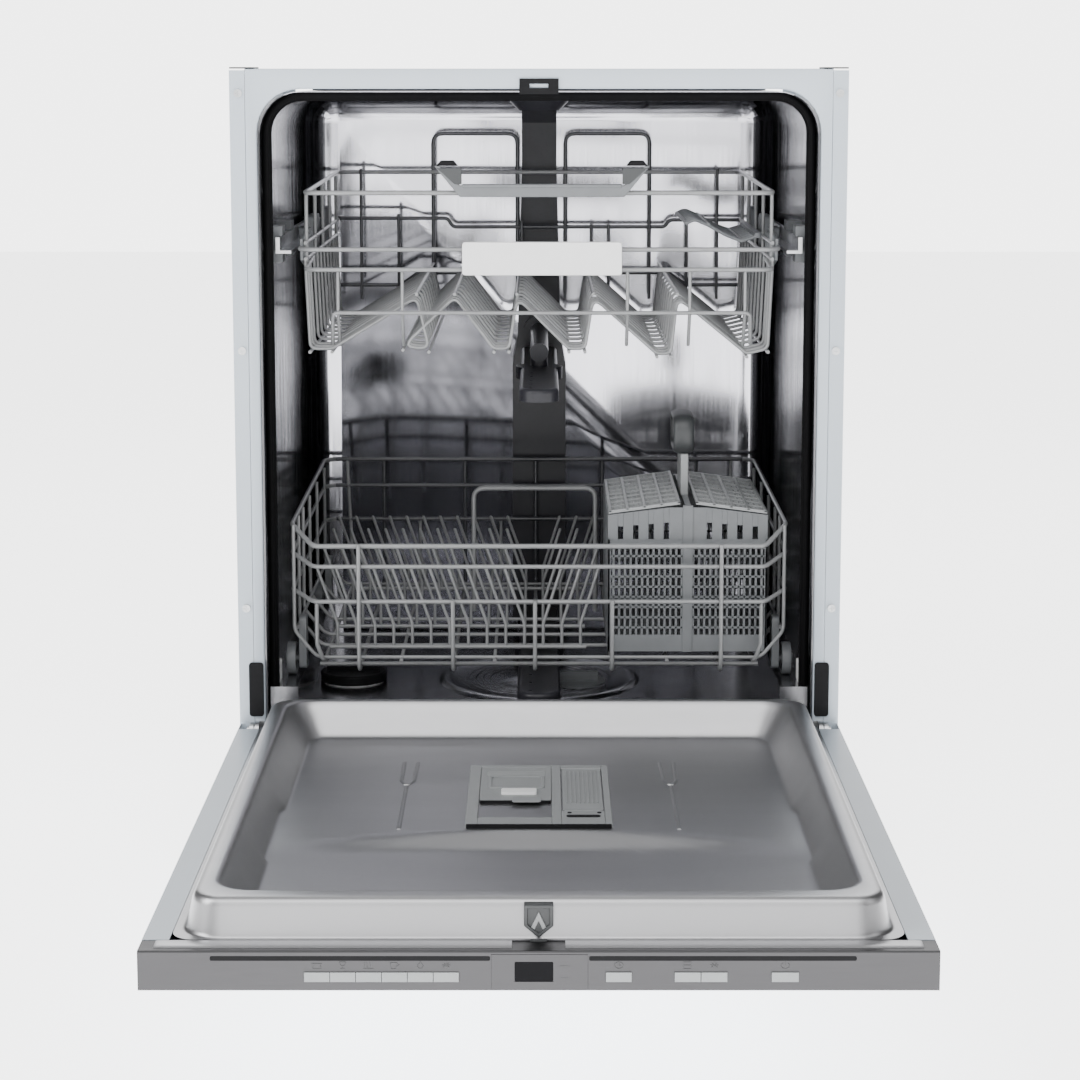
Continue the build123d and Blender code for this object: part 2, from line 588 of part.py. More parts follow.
def make_lower_rack():
    front, back = RACK_FRONT, RACK_BACK
    frame = wires([wire_loop(*heights, LOWER_SIDE, RIM_FRONT_HALF) for heights in LOWER_RIMS])
    for x in (-225, -182, -87, -4, 74, 184, 225):
        top = 337 if abs(x) > 100 else 280
        frame += wires([[(x, front - 4, top), (x, front - 4, LOWER_FLOOR), (x, back + 4, LOWER_FLOOR),
                         (x, back + 4, 361)]])
    for y in (60, 115, 165, 240, 330, 430):
        frame += wires([[(-LOWER_FOOT - 8, y, LOWER_FLOOR + 3.9), (LOWER_FOOT + 8, y, LOWER_FLOOR + 3.9)]])
        for side in (-1, 1):
            frame += wires([[(side * (LOWER_FOOT + 8), y, LOWER_FLOOR + 3.9), (side * 247, y, 245),
                             (side * 247, y, 352)]], THIN_WIRE)
    for y in (95, 310, 390):
        frame += tines(y, COMB_Z)
    frame += wires([[(-72, HOOP_Y, LOWER_FLOOR + 6), (-72, HOOP_Y, 356), (62, HOOP_Y, 356),
                     (62, HOOP_Y, LOWER_FLOOR + 6)]], 2.5)
    for y in WHEEL_Y:
        for side in (-1, 1):
            frame.append(block(min(side * 239, side * 243), max(side * 239, side * 243), y - 7, y + 7, 205, 262))
            frame.append(rod((side * 243, y, LEDGE_Z + GAP + WHEEL_RADIUS),
                             (side * 260, y, LEDGE_Z + GAP + WHEEL_RADIUS), 3))
    save("lower_rack_frame", *frame)

    for name, y in zip(("lower_wheels_front", "lower_wheels_rear"), WHEEL_Y):
        z = LEDGE_Z + GAP + WHEEL_RADIUS
        wheel = rod((249, y, z), (259, y, z), WHEEL_RADIUS)
        wheel = fillet(wheel.edges(), 1)
        wheel -= rod((240, y, z), (270, y, z), 3 + RUNNING_FIT)
        save(name, *mirrored(wheel))

    save("tine_comb", *tines(COMB_Y, COMB_Z + GAP))


def make_cutlery_basket():
    x0, x1, y0, y1 = BASKET
    spine = LID_OFFSET
    outline = [(x0, BASKET_FLOOR), (x1, BASKET_FLOOR), (x1, BASKET_EDGE), (BASKET_X + spine, BASKET_RIDGE),
               (BASKET_X - spine, BASKET_RIDGE), (x0, BASKET_EDGE)]
    basket = plate_xz(outline, y0, y1)
    for left, right in ((x0 + 2.5, BASKET_X - spine), (BASKET_X + spine, x1 - 2.5)):
        basket -= block(left, right, y0 + 2.5, y1 - 2.5, BASKET_FLOOR + 3, HEIGHT)
    for column in range(8):
        x = (x0 + 10 + column * 15) if column < 4 else (BASKET_X + 17 + (column - 4) * 15)
        basket -= block(x, x + 6, y0 - 5, y1 + 5, 340, 350)
        basket -= block(x, x + 4, y0 - 5, y1 + 5, 240, 325)
    stem = block(BASKET_X - 4, BASKET_X + 4, 128, 196, BASKET_RIDGE, GRIP_LOW + 2)
    head = block(BASKET_X - 11, BASKET_X + 9, 124, 200, GRIP_LOW, GRIP_TOP)
    head = fillet(head.edges().filter_by(Axis.X), 14)
    head -= block(BASKET_X - 20, BASKET_X + 20, 136, 188, GRIP_LOW + 8, GRIP_TOP - 10)
    save("cutlery_basket", basket + stem + head)

    reach = BASKET_X - LID_OFFSET - x0
    tilt = degrees(atan2(LID_DROP, reach))
    lid = block(-reach, 0, y0 + 1, y1 - 1, -2.4, 0)
    for column in range(5):
        for row in range(6):
            x, y = -reach + 7 + column * 13, y0 + 10 + row * 31
            lid -= block(x, x + 9, y, y + 24, -5, 5)
    barrel = rod((0, y0 + 1, 0), (0, y1 - 1, 0), LID_BARREL)
    left = Pos(BASKET_X - LID_OFFSET, 0, LID_HINGE_Z) * (Rot(0, -tilt, 0) * (lid + barrel))
    save("cutlery_lid_left", left)
    save("cutlery_lid_right", mirror(left, about=Plane((BASKET_X, 0, 0), z_dir=(1, 0, 0))))


# ---------------------------------------------------------------- upper rack


def zigzag():
    """The bent floor of the upper rack across its width: gentle slopes that end in steep drops."""
    return [(-UPPER_SIDE, 692), (-UPPER_SIDE, VALLEY), (-207, VALLEY), (-122, PEAK), (-108, VALLEY),
            (-82, PEAK), (-45, VALLEY), (-22, PEAK), (36, VALLEY), (52, PEAK), (120, VALLEY - 5),
            (140, PEAK), (212, VALLEY - 5), (UPPER_SIDE, VALLEY), (UPPER_SIDE, 692)]


def make_upper_rack():
    front, back = RACK_FRONT, RACK_BACK - 5
    frame = wires([[(-230, front, z), (230, front, z)] for z in (692, 636, 616)])
    frame += wires([[(-205, front, 573), (210, front, 573)]])
    for x in (-200, -136, 88, 150, 205):
        frame += wires([[(x, front + 3.6, 616), (x, front + 3.6, 573)]], THIN_WIRE)
    for side in (-UPPER_SIDE, UPPER_SIDE):
        frame += wires([[(side, front, 692), (side, back, 692)], [(side, front, 640), (side, back, 640)]])
    frame += wires([[(-UPPER_SIDE, back, z), (UPPER_SIDE, back, z)] for z in (692, 643, 560)])
    for x in (-180, -145, -70, 60, 100, 170):
        frame += wires([[(x, back - 3.6, 643), (x, back - 3.6, 560)]], THIN_WIRE)
    for x0, x1 in ((-122, -25), (30, 127)):
        frame += wires([[(x0, back, 560), (x0, back, 738), (x1, back, 738), (x1, back, 643)]])
    for y in CROSS_WIRES:
        frame += wires([[(x, y, z) for x, z in zigzag()]], THIN_WIRE)
    for x, z in zigzag()[1:-1]:
        below = -3.3 if z < 570 else 3.3
        frame += wires([[(x, CROSS_WIRES[0] - 25, z + below), (x, back, z + below)]], THIN_WIRE)
    save("upper_rack_frame", *frame)

    grip = plate_xz([(-103, 719), (109, 719), (80, 689), (-74, 689)], 31, 34)
    grip += block(-74, 80, 34, 46, 695, 699)
    grip += block(-100, -96, 34, 46, 706, 719) + block(102, 106, 34, 46, 706, 719)
    save("upper_rack_handle", grip)
    save("upper_rack_plate", fillet(block(-76, 82, 37, 42, 611, 644).edges().filter_by(Axis.Y), 3))

    brackets = []
    for y in (240, 400):
        shoe = block(245.2, 255.5, y - 16, y + 16, RAIL_Z[0] + 3.3, RAIL_Z[1] - 1)
        arm = block(236, 245.2, y - 22, y + 22, 612, 660)
        brackets += mirrored(shoe + arm)
    save("upper_rack_brackets", *brackets)


def make_rails():
    """Two L rails that carry the upper rack's shoes, and the guides on the tub walls that hold the rails."""
    rail = block(RAIL_WEB[0], RAIL_WEB[1], RACK_FRONT, RACK_BACK, RAIL_Z[0], RAIL_Z[1])
    rail += block(245.7, RAIL_WEB[0], RACK_FRONT, RACK_BACK, RAIL_Z[0], RAIL_Z[0] + 3)
    save("upper_rails", *mirrored(rail))

    guides = []
    for y in (60, 150):
        guide = block(255.8, TUB_HALF, y, y + 30, 622, 658)
        guide -= block(200, RAIL_WEB[1] + GAP, y - 5, y + 35, RAIL_Z[0] - GAP, RAIL_Z[1] + GAP)
        guides += mirrored(guide)
    save("rail_guides", *guides)


def make_cup_shelf():
    shelf = block(150, SHELF_EDGE, 110, 300, 646, 649)
    for row in range(6):
        y = 118 + row * 30
        shelf -= block(158, 216, y, y + 22, 640, 655)
    shelf += rod((SHELF_EDGE, 110, 647.5), (SHELF_EDGE, 300, 647.5), 1.9)
    save("cup_shelf", shelf)


# ---------------------------------------------------------------- build
def main():
    os.makedirs("parts", exist_ok=True)
    make_tub()
    make_front_frame()
    make_latch_strike()
    make_side_panels()
    make_frame_screws()
    make_worktop_brackets()
    make_door_seal()
    make_hinge_brackets()
    make_hinge_trims()
    make_base_tray()
    make_levelling_feet()
    make_plinth_plate()
    make_sump()
    make_filters()
    make_softener()
    make_pumps()
    make_rear_connections()
    make_spray_duct()
    make_spray_arms()
    make_door_outer_panel()
    make_door_liner()
    make_latch_housing()
    make_dispenser()
    make_hinge_arms()
    make_fascia()
    make_keys()
    make_lower_rack()
    make_cutlery_basket()
    make_upper_rack()
    make_rails()
    make_cup_shelf()


main()
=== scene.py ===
import json
from math import asin, cos, pi, radians, sin, tan

import bmesh
import bpy
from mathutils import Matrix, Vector


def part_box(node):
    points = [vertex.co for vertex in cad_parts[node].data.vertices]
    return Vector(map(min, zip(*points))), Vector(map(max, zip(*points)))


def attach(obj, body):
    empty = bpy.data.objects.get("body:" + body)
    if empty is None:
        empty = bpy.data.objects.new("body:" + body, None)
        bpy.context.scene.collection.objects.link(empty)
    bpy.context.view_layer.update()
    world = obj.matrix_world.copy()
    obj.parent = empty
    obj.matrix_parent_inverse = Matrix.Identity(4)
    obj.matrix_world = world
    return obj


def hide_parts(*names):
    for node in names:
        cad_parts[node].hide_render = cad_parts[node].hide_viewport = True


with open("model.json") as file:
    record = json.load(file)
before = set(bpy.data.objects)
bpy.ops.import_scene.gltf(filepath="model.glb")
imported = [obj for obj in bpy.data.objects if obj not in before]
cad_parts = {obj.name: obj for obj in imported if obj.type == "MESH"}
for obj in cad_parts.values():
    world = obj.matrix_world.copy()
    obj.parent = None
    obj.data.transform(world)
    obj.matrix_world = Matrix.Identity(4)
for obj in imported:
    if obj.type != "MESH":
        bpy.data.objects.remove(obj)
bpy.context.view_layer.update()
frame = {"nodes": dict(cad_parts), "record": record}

# Lengths are in millimetres. Y is from the frame's front face, X from the middle plane and Z from the floor.
MM = 0.001
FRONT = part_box("front_frame")[0].y


def at(x, y, z):
    """A point in metres from one in millimetres."""
    return Vector((x * MM, y * MM + FRONT, z * MM))


# ---------------------------------------------------------------- materials
def nodes_of(material):
    material.use_nodes = True
    tree = material.node_tree
    return tree, tree.nodes["Principled BSDF"]


def noise(tree, coords, scale, stretch=(1, 1, 1), detail=3.0):
    mapping = tree.nodes.new("ShaderNodeMapping")
    mapping.inputs["Scale"].default_value = stretch
    texture = tree.nodes.new("ShaderNodeTexNoise")
    texture.inputs["Scale"].default_value = scale
    texture.inputs["Detail"].default_value = detail
    tree.links.new(coords, mapping.inputs["Vector"])
    tree.links.new(mapping.outputs["Vector"], texture.inputs["Vector"])
    return texture.outputs["Fac"]


def ramp(tree, source, low, high):
    node = tree.nodes.new("ShaderNodeMapRange")
    node.inputs["From Min"].default_value = 0.3
    node.inputs["From Max"].default_value = 0.7
    node.inputs["To Min"].default_value = low
    node.inputs["To Max"].default_value = high
    tree.links.new(source, node.inputs["Value"])
    return node.outputs["Result"]


COAT_ROUGHNESS = 0.12


def surface(name, color, roughness, metallic=0.0, vary=0.06, rough_vary=0.05, scale=60, grain=900,
            bump=0.05, stretch=(1, 1, 1), blotch=(1, 1, 1), coat=0.0, distance=0.0002, shine=0.5):
    """A material whose tone, roughness and relief vary. stretch draws the fine grain out into brush lines."""
    material = bpy.data.materials.new(name)
    tree, shader = nodes_of(material)
    coords = tree.nodes.new("ShaderNodeTexCoord").outputs["Object"]
    broad = noise(tree, coords, scale, blotch)
    fine = noise(tree, coords, grain, stretch, 2.0)

    mix = tree.nodes.new("ShaderNodeMix")
    mix.data_type = "RGBA"
    mix.inputs["A"].default_value = [c * (1 - vary) for c in color] + [1]
    mix.inputs["B"].default_value = [min(1, c * (1 + vary)) for c in color] + [1]
    tree.links.new(ramp(tree, broad, 0, 1), mix.inputs["Factor"])
    tree.links.new(mix.outputs["Result"], shader.inputs["Base Color"])

    tree.links.new(ramp(tree, fine, max(0.03, roughness - rough_vary), roughness + rough_vary),
                   shader.inputs["Roughness"])
    relief = tree.nodes.new("ShaderNodeBump")
    relief.inputs["Strength"].default_value = bump
    relief.inputs["Distance"].default_value = distance
    tree.links.new(fine, relief.inputs["Height"])
    tree.links.new(relief.outputs["Normal"], shader.inputs["Normal"])
    shader.inputs["Metallic"].default_value = metallic
    shader.inputs["Specular IOR Level"].default_value = shine
    shader.inputs["Coat Weight"].default_value = coat
    shader.inputs["Coat Roughness"].default_value = COAT_ROUGHNESS
    return material


ALONG_X = (0.02, 1, 1)
ALONG_Z = (1, 1, 0.02)
TUB_STEEL = surface("tub_steel", (0.62, 0.62, 0.665), 0.13, 1, 0.05, 0.03, 6, 700, 0.03, ALONG_Z, (3, 3, 0.4))
# the side walls' steel: the tub's steel painted much darker, a painted dark reflection
TUB_SIDE_PAINTED_REFLECTION = surface("tub_side_steel_painted_dark_reflection", (0.13, 0.13, 0.14), 0.17, 1, 0.55, 0.09, 34, 500, 0.05, ALONG_Z,
                   (1, 1, 0.03))
FLOOR_STEEL = surface("tub_floor_steel", (0.46, 0.46, 0.475), 0.20, 1, 0.10, 0.05, 9, 1800, 0.015)
DOOR_STEEL = surface("door_steel", (0.50, 0.50, 0.512), 0.37, 1, 0.05, 0.04, 5, 2600, 0.03, ALONG_X, (0.5, 3, 3))
FASCIA_STEEL = surface("fascia_steel", (0.078, 0.077, 0.080), 0.36, 1, 0.03, 0.05, 8, 2400, 0.05, ALONG_X,
                       (0.4, 3, 3))
ZINC = surface("zinc_steel", (0.60, 0.61, 0.62), 0.35, 1, 0.12, 0.08, 90, 500, 0.08)
PAINT = surface("painted_steel", (0.49, 0.55, 0.61), 0.33, 0, 0.015, 0.04, 20, 800, 0.05, coat=0.3)
WIRE_COAT = surface("coated_wire", (0.235, 0.24, 0.245), 0.32, 0, 0.05, 0.06, 120, 1500, 0.08, coat=0.5)
# the same coated wire painted darker, for the racks' rear wires: painted shade
WIRE_PAINTED_SHADE = surface("coated_wire_painted_shade", (0.05, 0.052, 0.058), 0.30, 0, 0.05, 0.06, 120, 1500, 0.08, coat=0.5)
GREY = surface("grey_plastic", (0.150, 0.158, 0.166), 0.42, 0, 0.05, 0.06, 70, 1300, 0.12)
# darker grey plastic: the own colour of the latch shield and the basket's head, and painted shade on the grip's
# sloped cheeks
DARK_GREY_AND_SHADE = surface("grey_plastic_dark_and_painted_shade", (0.042, 0.045, 0.047), 0.42, 0, 0.05, 0.06, 70, 1300, 0.12)
LIGHT = surface("light_plastic", (0.28, 0.29, 0.295), 0.38, 0, 0.03, 0.05, 70, 1300, 0.10)
WHITE = surface("white_plastic", (0.90, 0.90, 0.90), 0.34, 0, 0.015, 0.04, 60, 1200, 0.06)
DARK = surface("dark_plastic", (0.008, 0.008, 0.009), 0.5, 0, 0.12, 0.08, 80, 1400, 0.14, shine=0.12)
DUCT = surface("duct_plastic", (0.022, 0.022, 0.027), 0.33, 0, 0.10, 0.06, 50, 1200, 0.10, shine=0.3)
RUBBER = surface("seal_rubber", (0.004, 0.004, 0.0045), 0.6, 0, 0.15, 0.10, 90, 1100, 0.16, shine=0.06)
GLASS = surface("display_glass", (0.003, 0.003, 0.004), 0.22, 0, 0.10, 0.03, 30, 600, 0.01, shine=0.08)
BOARD = surface("circuit_board", (0.02, 0.12, 0.05), 0.35, 0, 0.15, 0.10, 300, 900, 0.10)
INK = surface("printed_ink", (0.05, 0.05, 0.052), 0.45, 0, 0.08, 0.06, 200, 1500, 0.05)
BITUMEN = surface("bitumen_mat", (0.030, 0.030, 0.032), 0.75, 0, 0.25, 0.12, 60, 700, 0.5, distance=0.0006)

LOOK = {"stainless": TUB_STEEL, "painted_steel": PAINT, "zinc_steel": ZINC, "fascia": FASCIA_STEEL,
        "coated_wire": WIRE_COAT, "grey_plastic": GREY, "light_plastic": LIGHT, "white_plastic": WHITE,
        "dark_plastic": DARK, "duct_plastic": DUCT, "seal_rubber": RUBBER, "display_glass": GLASS,
        "circuit_board": BOARD}


# ---------------------------------------------------------------- mesh helpers
def piece(name, bm, material, body, nodes=(), bevel=0.0, segments=2, angle=35):
    """A finished piece from a bmesh: it rides on a body and stands for CAD nodes."""
    bmesh.ops.recalc_face_normals(bm, faces=bm.faces)
    mesh = bpy.data.meshes.new(name)
    bm.to_mesh(mesh)
    bm.free()
    obj = bpy.data.objects.new(name, mesh)
    bpy.context.scene.collection.objects.link(obj)
    mesh.materials.append(material)
    soften(obj, bevel, segments, angle)
    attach(obj, body)
    if nodes:
        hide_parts(*nodes)
    return obj


def soften(obj, bevel, segments=2, angle=35):
    """Smooth shading, with beveled edges or, without a bevel, edges split where they are sharp."""
    for polygon in obj.data.polygons:
        polygon.use_smooth = True
    if bevel:
        modifier = obj.modifiers.new("edges", "BEVEL")
        modifier.width = bevel * MM
        modifier.segments = segments
        modifier.limit_method = "ANGLE"
        modifier.angle_limit = radians(angle)
        modifier.harden_normals = True
        modifier.use_clamp_overlap = True
    else:
        split = obj.modifiers.new("sharp", "EDGE_SPLIT")
        split.split_angle = radians(angle)


def corner(a, b, c, radius, steps):
    """Points of a round bend at b, on the way from a to c."""
    u, v = (a - b), (c - b)
    if radius <= 0 or u.length < 1e-6 or v.length < 1e-6:
        return [b]
    turn = pi - u.angle(v)
    if turn < 0.02:
        return [b]
    reach = min(radius * tan(turn / 2), u.length * 0.49, v.length * 0.49)
    start, end = b + u.normalized() * reach, b + v.normalized() * reach
    points = []
    for n in range(steps + 1):
        t = n / steps
        points.append(start * (1 - t) ** 2 + b * (2 * t * (1 - t)) + end * t ** 2)
    return points


def bend(points, radius, closed=False, steps=4):
    """A path through points (millimetres) with its corners rounded."""
    points = [Vector(p) for p in points]
    count = len(points)
    path = [] if closed else [points[0]]
    for n in range(count) if closed else range(1, count - 1):
        path += corner(points[n - 1], points[n], points[(n + 1) % count], radius, steps)
    return path if closed else path + [points[-1]]


def rings(bm, loops, close_start=False, close_end=False, closed=False):
    """Faces between rows of points that have equal lengths."""
    rows = [[bm.verts.new(at(*p)) for p in loop] for loop in loops]
    pairs = list(zip(rows, rows[1:])) + ([(rows[-1], rows[0])] if closed else [])
    count = len(rows[0])
    for low, high in pairs:
        for n in range(count):
            m = (n + 1) % count
            bm.faces.new((low[n], low[m], high[m], high[n]))
    if close_start:
        bm.faces.new(rows[0])
    if close_end:
        bm.faces.new(rows[-1])


def tube(bm, path, radius, sides=8, closed=False, flat=1.0, up=None):
    """A wire along a path. flat squashes its section across the up direction."""
    path = [Vector(p) for p in path]
    path = [p for n, p in enumerate(path) if n == 0 or (p - path[n - 1]).length > 1e-4]
    count = len(path)
    side = None
    loops = []
    for n, point in enumerate(path):
        before = path[n - 1] if (n or closed) else point
        after = path[(n + 1) % count] if (n < count - 1 or closed) else point
        along = (after - before).normalized()
        if side is None:
            side = Vector(up) if up else Vector((0, 0, 1) if abs(along.z) < 0.9 else (0, 1, 0))
        side = (side - along * side.dot(along)).normalized()
        other = along.cross(side)
        turns = [2 * pi * k / sides for k in range(sides)]
        loops.append([point + (side * cos(turn) * flat + other * sin(turn)) * radius for turn in turns])
    rings(bm, loops, not closed, not closed, closed)


def wire(bm, points, radius, turn=10.0, closed=False):
    tube(bm, bend(points, turn, closed), radius, closed=closed)


def block(bm, x0, x1, y0, y1, z0, z1):
    loop = [(x0, y0), (x1, y0), (x1, y1), (x0, y1)]
    rings(bm, [[(x, y, z) for x, y in loop] for z in (z0, z1)], True, True)


def slab(bm, outline, plane, low, high):
    """A flat outline with thickness. plane names its two axes, and low and high are along the third."""
    def place(a, b, c):
        return {"xz": (a, c, b), "yz": (c, a, b), "xy": (a, b, c)}[plane]
    rings(bm, [[place(a, b, c) for a, b in outline] for c in (low, high)], True, True)


def round_rect(x0, x1, y0, y1, radius, steps=6, straight=1):
    """A closed outline with round corners. straight is the number of parts of each straight side."""
    radii = radius if isinstance(radius, (list, tuple)) else [radius] * 4
    corners = [(x1, y1, 0), (x0, y1, 90), (x0, y0, 180), (x1, y0, 270)]
    arcs = []
    for (cx, cy, angle), r in zip(corners, radii):
        sx, sy = (-1 if cx == x1 else 1), (-1 if cy == y1 else 1)
        ox, oy = cx + sx * r, cy + sy * r
        turns = [radians(angle + 90 * n / steps) for n in range(steps + 1)]
        arcs.append([(ox + r * cos(turn), oy + r * sin(turn)) for turn in turns])
    points = []
    for n, arc in enumerate(arcs):
        after = arcs[(n + 1) % 4][0]
        points += arc
        for k in range(1, straight):
            t = k / straight
            points.append((arc[-1][0] * (1 - t) + after[0] * t, arc[-1][1] * (1 - t) + after[1] * t))
    return points


def arch(half, top, bottom, radius, y, straight=1, low=0.5):
    """A closed outline in X and Z with round top corners."""
    outline = round_rect(-half, half, bottom, top, [radius, radius, low, low], 8, straight)
    return [(x, y, z) for x, z in outline]


def lattice(bm, place, width, height, columns, rows, bar, thick, border):
    """A flat grid of bars with a border. place(u, v, w) gives a point for it."""
    def bar_at(u0, u1, v0, v1):
        loop = [(u0, v0), (u1, v0), (u1, v1), (u0, v1)]
        rings(bm, [[place(u, v, w) for u, v in loop] for w in (0, thick)], True, True)
    bar_at(0, width, 0, border)
    bar_at(0, width, height - border, height)
    bar_at(0, border, border, height - border)
    bar_at(width - border, width, border, height - border)
    for n in range(1, columns):
        u = width * n / columns
        bar_at(u - bar / 2, u + bar / 2, border, height - border)
    for n in range(1, rows):
        v = height * n / rows
        bar_at(border, width - border, v - bar / 2, v + bar / 2)


def dress(name, material, bevel):
    """A CAD node that keeps its shape gets its material and softer edges."""
    obj = frame["nodes"][name]
    obj.data.materials.clear()
    obj.data.materials.append(material)
    soften(obj, bevel)


# ---------------------------------------------------------------- tub, frame and seal
TUB_HALF, TUB_LOW, TUB_TOP, TUB_BACK, TUB_ROUND, REAR_ROUND = 271.0, 149.0, 791.0, 490.0, 40.0, 37.0
SHEET = 0.8
# the lower end of the seal's sides, above the door's hinge
SEAL_LOW = 196.4
# a vertex this close to a level, in metres, counts as being on it
LEVEL_SLACK = 1e-5
# a face of the tub belongs to a side wall, and gets the side walls' painted dark reflection, when its normal
# points this much along X
PAINTED_REFLECTION_FACING = 0.45


def make_tub():
    bm = bmesh.new()
    stations = [(y, 0.0) for y in (1, 60, 200, 340, TUB_BACK - REAR_ROUND)]
    for n in range(1, 9):
        turn = radians(90 * n / 8)
        stations.append((TUB_BACK - REAR_ROUND + REAR_ROUND * sin(turn), REAR_ROUND * (1 - cos(turn))))
    loops = []
    for y, inset in stations:
        loops.append(arch(TUB_HALF - inset, TUB_TOP - inset, TUB_LOW, max(TUB_ROUND - inset, 4), y, 6))
    rings(bm, loops, close_end=True)
    low = TUB_LOW * MM + LEVEL_SLACK
    bottom = [f for f in bm.faces if len(f.verts) == 4 and all(v.co.z < low for v in f.verts)]
    bmesh.ops.delete(bm, geom=bottom, context="FACES")
    bm.normal_update()
    # side-wall faces take the second slot, the steel with the painted dark reflection
    for face in bm.faces:
        face.material_index = 1 if abs(face.normal.x) > PAINTED_REFLECTION_FACING else 0
    obj = piece("tub_shell", bm, TUB_STEEL, "cabinet", ("tub_wrapper", "tub_back"), angle=50)
    obj.data.materials.append(TUB_SIDE_PAINTED_REFLECTION)
    shell = obj.modifiers.new("sheet", "SOLIDIFY")
    shell.thickness = SHEET * MM
    shell.offset = 1


def make_frame_face():
    """The frame's face with its rolled inner edge."""
    bm = bmesh.new()
    def opening(grow, y):
        return arch(273 + grow, 794 + grow, 158 - grow, 42 + grow, y, 4, 2)
    def outer(y, inset=0.0):
        return arch(284 - inset, 813.5 - inset, 112 + inset, 1.5, y, 4, 1.5)
    loops = [opening(0, 7), opening(0, 2.2), opening(0.6, 0.8), opening(2, 0), outer(0, 0.4), outer(0.5),
             outer(1), opening(2.5, 1), opening(0.8, 3), opening(0.8, 7)]
    rings(bm, loops, closed=True)
    slab(bm, [(-284, 812.3), (284, 812.3), (284, 813.5), (-284, 813.5)], "xz", 1, 40)
    piece("frame_face", bm, PAINT, "cabinet", ("front_frame",), angle=40)


def make_seal():
    """A hollow-looking rubber ring: a bulb towards the door and two lips towards the tub."""
    bm = bmesh.new()
    profile = [(0.2, 39.0), (0.2, 30.5), (1.8, 28.6), (4.6, 28.5), (6.4, 29.8), (6.4, 32.2), (5.2, 33.6),
               (8.6, 34.4), (8.8, 36.0), (5.6, 36.8), (8.0, 38.0), (7.6, 39.4)]
    rings(bm, [arch(TUB_HALF - inset, TUB_TOP - inset, SEAL_LOW, TUB_ROUND - inset, y, 6)
               for inset, y in profile], closed=True)
    low = SEAL_LOW * MM + LEVEL_SLACK
    bottom = [f for f in bm.faces if all(v.co.z < low for v in f.verts)]
    bmesh.ops.delete(bm, geom=bottom, context="FACES")
    edges = [e for e in bm.edges if e.is_boundary]
    bmesh.ops.holes_fill(bm, edges=edges, sides=40)
    sill = [(4, 150.2), (16, 150.2), (16, 154), (13.5, 158), (14.5, 161.5), (12.5, 162.4), (10.5, 158.5),
            (8, 158.5), (6, 162.2), (4.4, 161), (5.5, 156)]
    slab(bm, sill, "yz", -242.8, 242.8)
    piece("seal_ring", bm, RUBBER, "cabinet", ("door_seal",), angle=50)


DISH_Y = 250.0


def make_filter_dish():
    """The steel filter: a shallow dish with a rolled rim round the spray arm's post."""
    bm = bmesh.new()
    def circle(radius, z, steps=72):
        turns = [2 * pi * n / steps for n in range(steps)]
        return [(radius * cos(turn), DISH_Y + radius * sin(turn), z) for turn in turns]
    sections = [(110, 150.3), (108, 151.6), (105, 153.4), (101, 154.0), (97, 153.2), (90, 151.9), (70, 150.9),
                (45, 150.9), (30, 152.0), (24, 154.5), (21, 156.0), (15, 156.2), (15, TUB_LOW)]
    rings(bm, [circle(radius, z) for radius, z in sections])
    for n in range(5):
        inner = 52 + n * 8
        ripple = [(inner, 150.6), (inner + 1, 151.7), (inner + 2.4, 151.7), (inner + 3.4, 150.6)]
        rings(bm, [circle(radius, z) for radius, z in ripple])
    piece("filter_dish", bm, FLOOR_STEEL, "cabinet", ("filter_plate",), angle=50)


def make_hinge_covers():
    bm = bmesh.new()
    for side in (-1, 1):
        x0, x1 = sorted((side * 274.5, side * 289))
        slab(bm, round_rect(x0, x1, 173, 228, 3, 3), "xz", -2.4, 0)
    piece("hinge_covers", bm, DARK, "cabinet", ("hinge_trims",), 0.6)
    bm = bmesh.new()
    for side in (-1, 1):
        x0, x1 = sorted((side * 262.5, side * 270.7))
        slab(bm, round_rect(x0, x1, 196.2, 218, 1.5, 3), "xz", 42, 62)
    piece("rack_guide_blocks", bm, WHITE, "cabinet", (), 0.8)


def make_mats():
    """Sound-damping mats on the outside of the tub's top and back."""
    bm = bmesh.new()
    slab(bm, round_rect(-225, 225, 60, 445, 10, 4), "xy", 792.2, 795.2)
    slab(bm, round_rect(-225, 225, 200, 740, 10, 4), "xz", 491.2, 494.2)
    piece("damping_mats", bm, BITUMEN, "cabinet", (), 0.8)


# ---------------------------------------------------------------- door
RIM_NEAR, RIM_FAR, RIM_HALF = -12.0, -632.5, 268.5
LIP_NEAR, LIP_FAR, LIP_HALF = -27.0, -607.0, 247.0
FLOOR_NEAR, FLOOR_FAR, FLOOR_HALF = -49.5, -584.5, 224.5
FLANGE_Z, RIM_Z, FLOOR_Z = 166.0, 196.0, 163.8
RIDGE_FAR, RIDGE_RISE, RIDGE_WIDE, RIDGE_DROP = -410.0, 38.0, 22.0, 12.0
# half the width over which the floor's step fades out
CROWN_HALF = 226.0
# where the side walls step outwards, over what length they do it, and how far
STEP_FAR, STEP_NEAR, STEP_RAMP, STEP_OUT = -437.0, -292.0, 6.0, 4.0
# the floor closes in rings on a small rectangle in the middle of the recess
FLOOR_RINGS = 96
CORE_Y, CORE_HALF_X, CORE_HALF_Y = (FLOOR_NEAR + FLOOR_FAR) / 2, 2.0, 26.0


def crown(x):
    """How much of the floor's step there is at x: all of it in the middle, none at the sides."""
    return max(0.0, 1 - (x / CROWN_HALF) ** 2)


def floor_height(x, y):
    """The recess floor: a crowned area by the hinge, a slope, and a lower level by the fascia."""
    edge = RIDGE_FAR + RIDGE_RISE * crown(x)
    share = min(1.0, max(0.0, (y - edge) / max(RIDGE_WIDE * crown(x) ** 0.8, 6.0)))
    return FLOOR_Z - RIDGE_DROP * crown(x) * (1 - share)


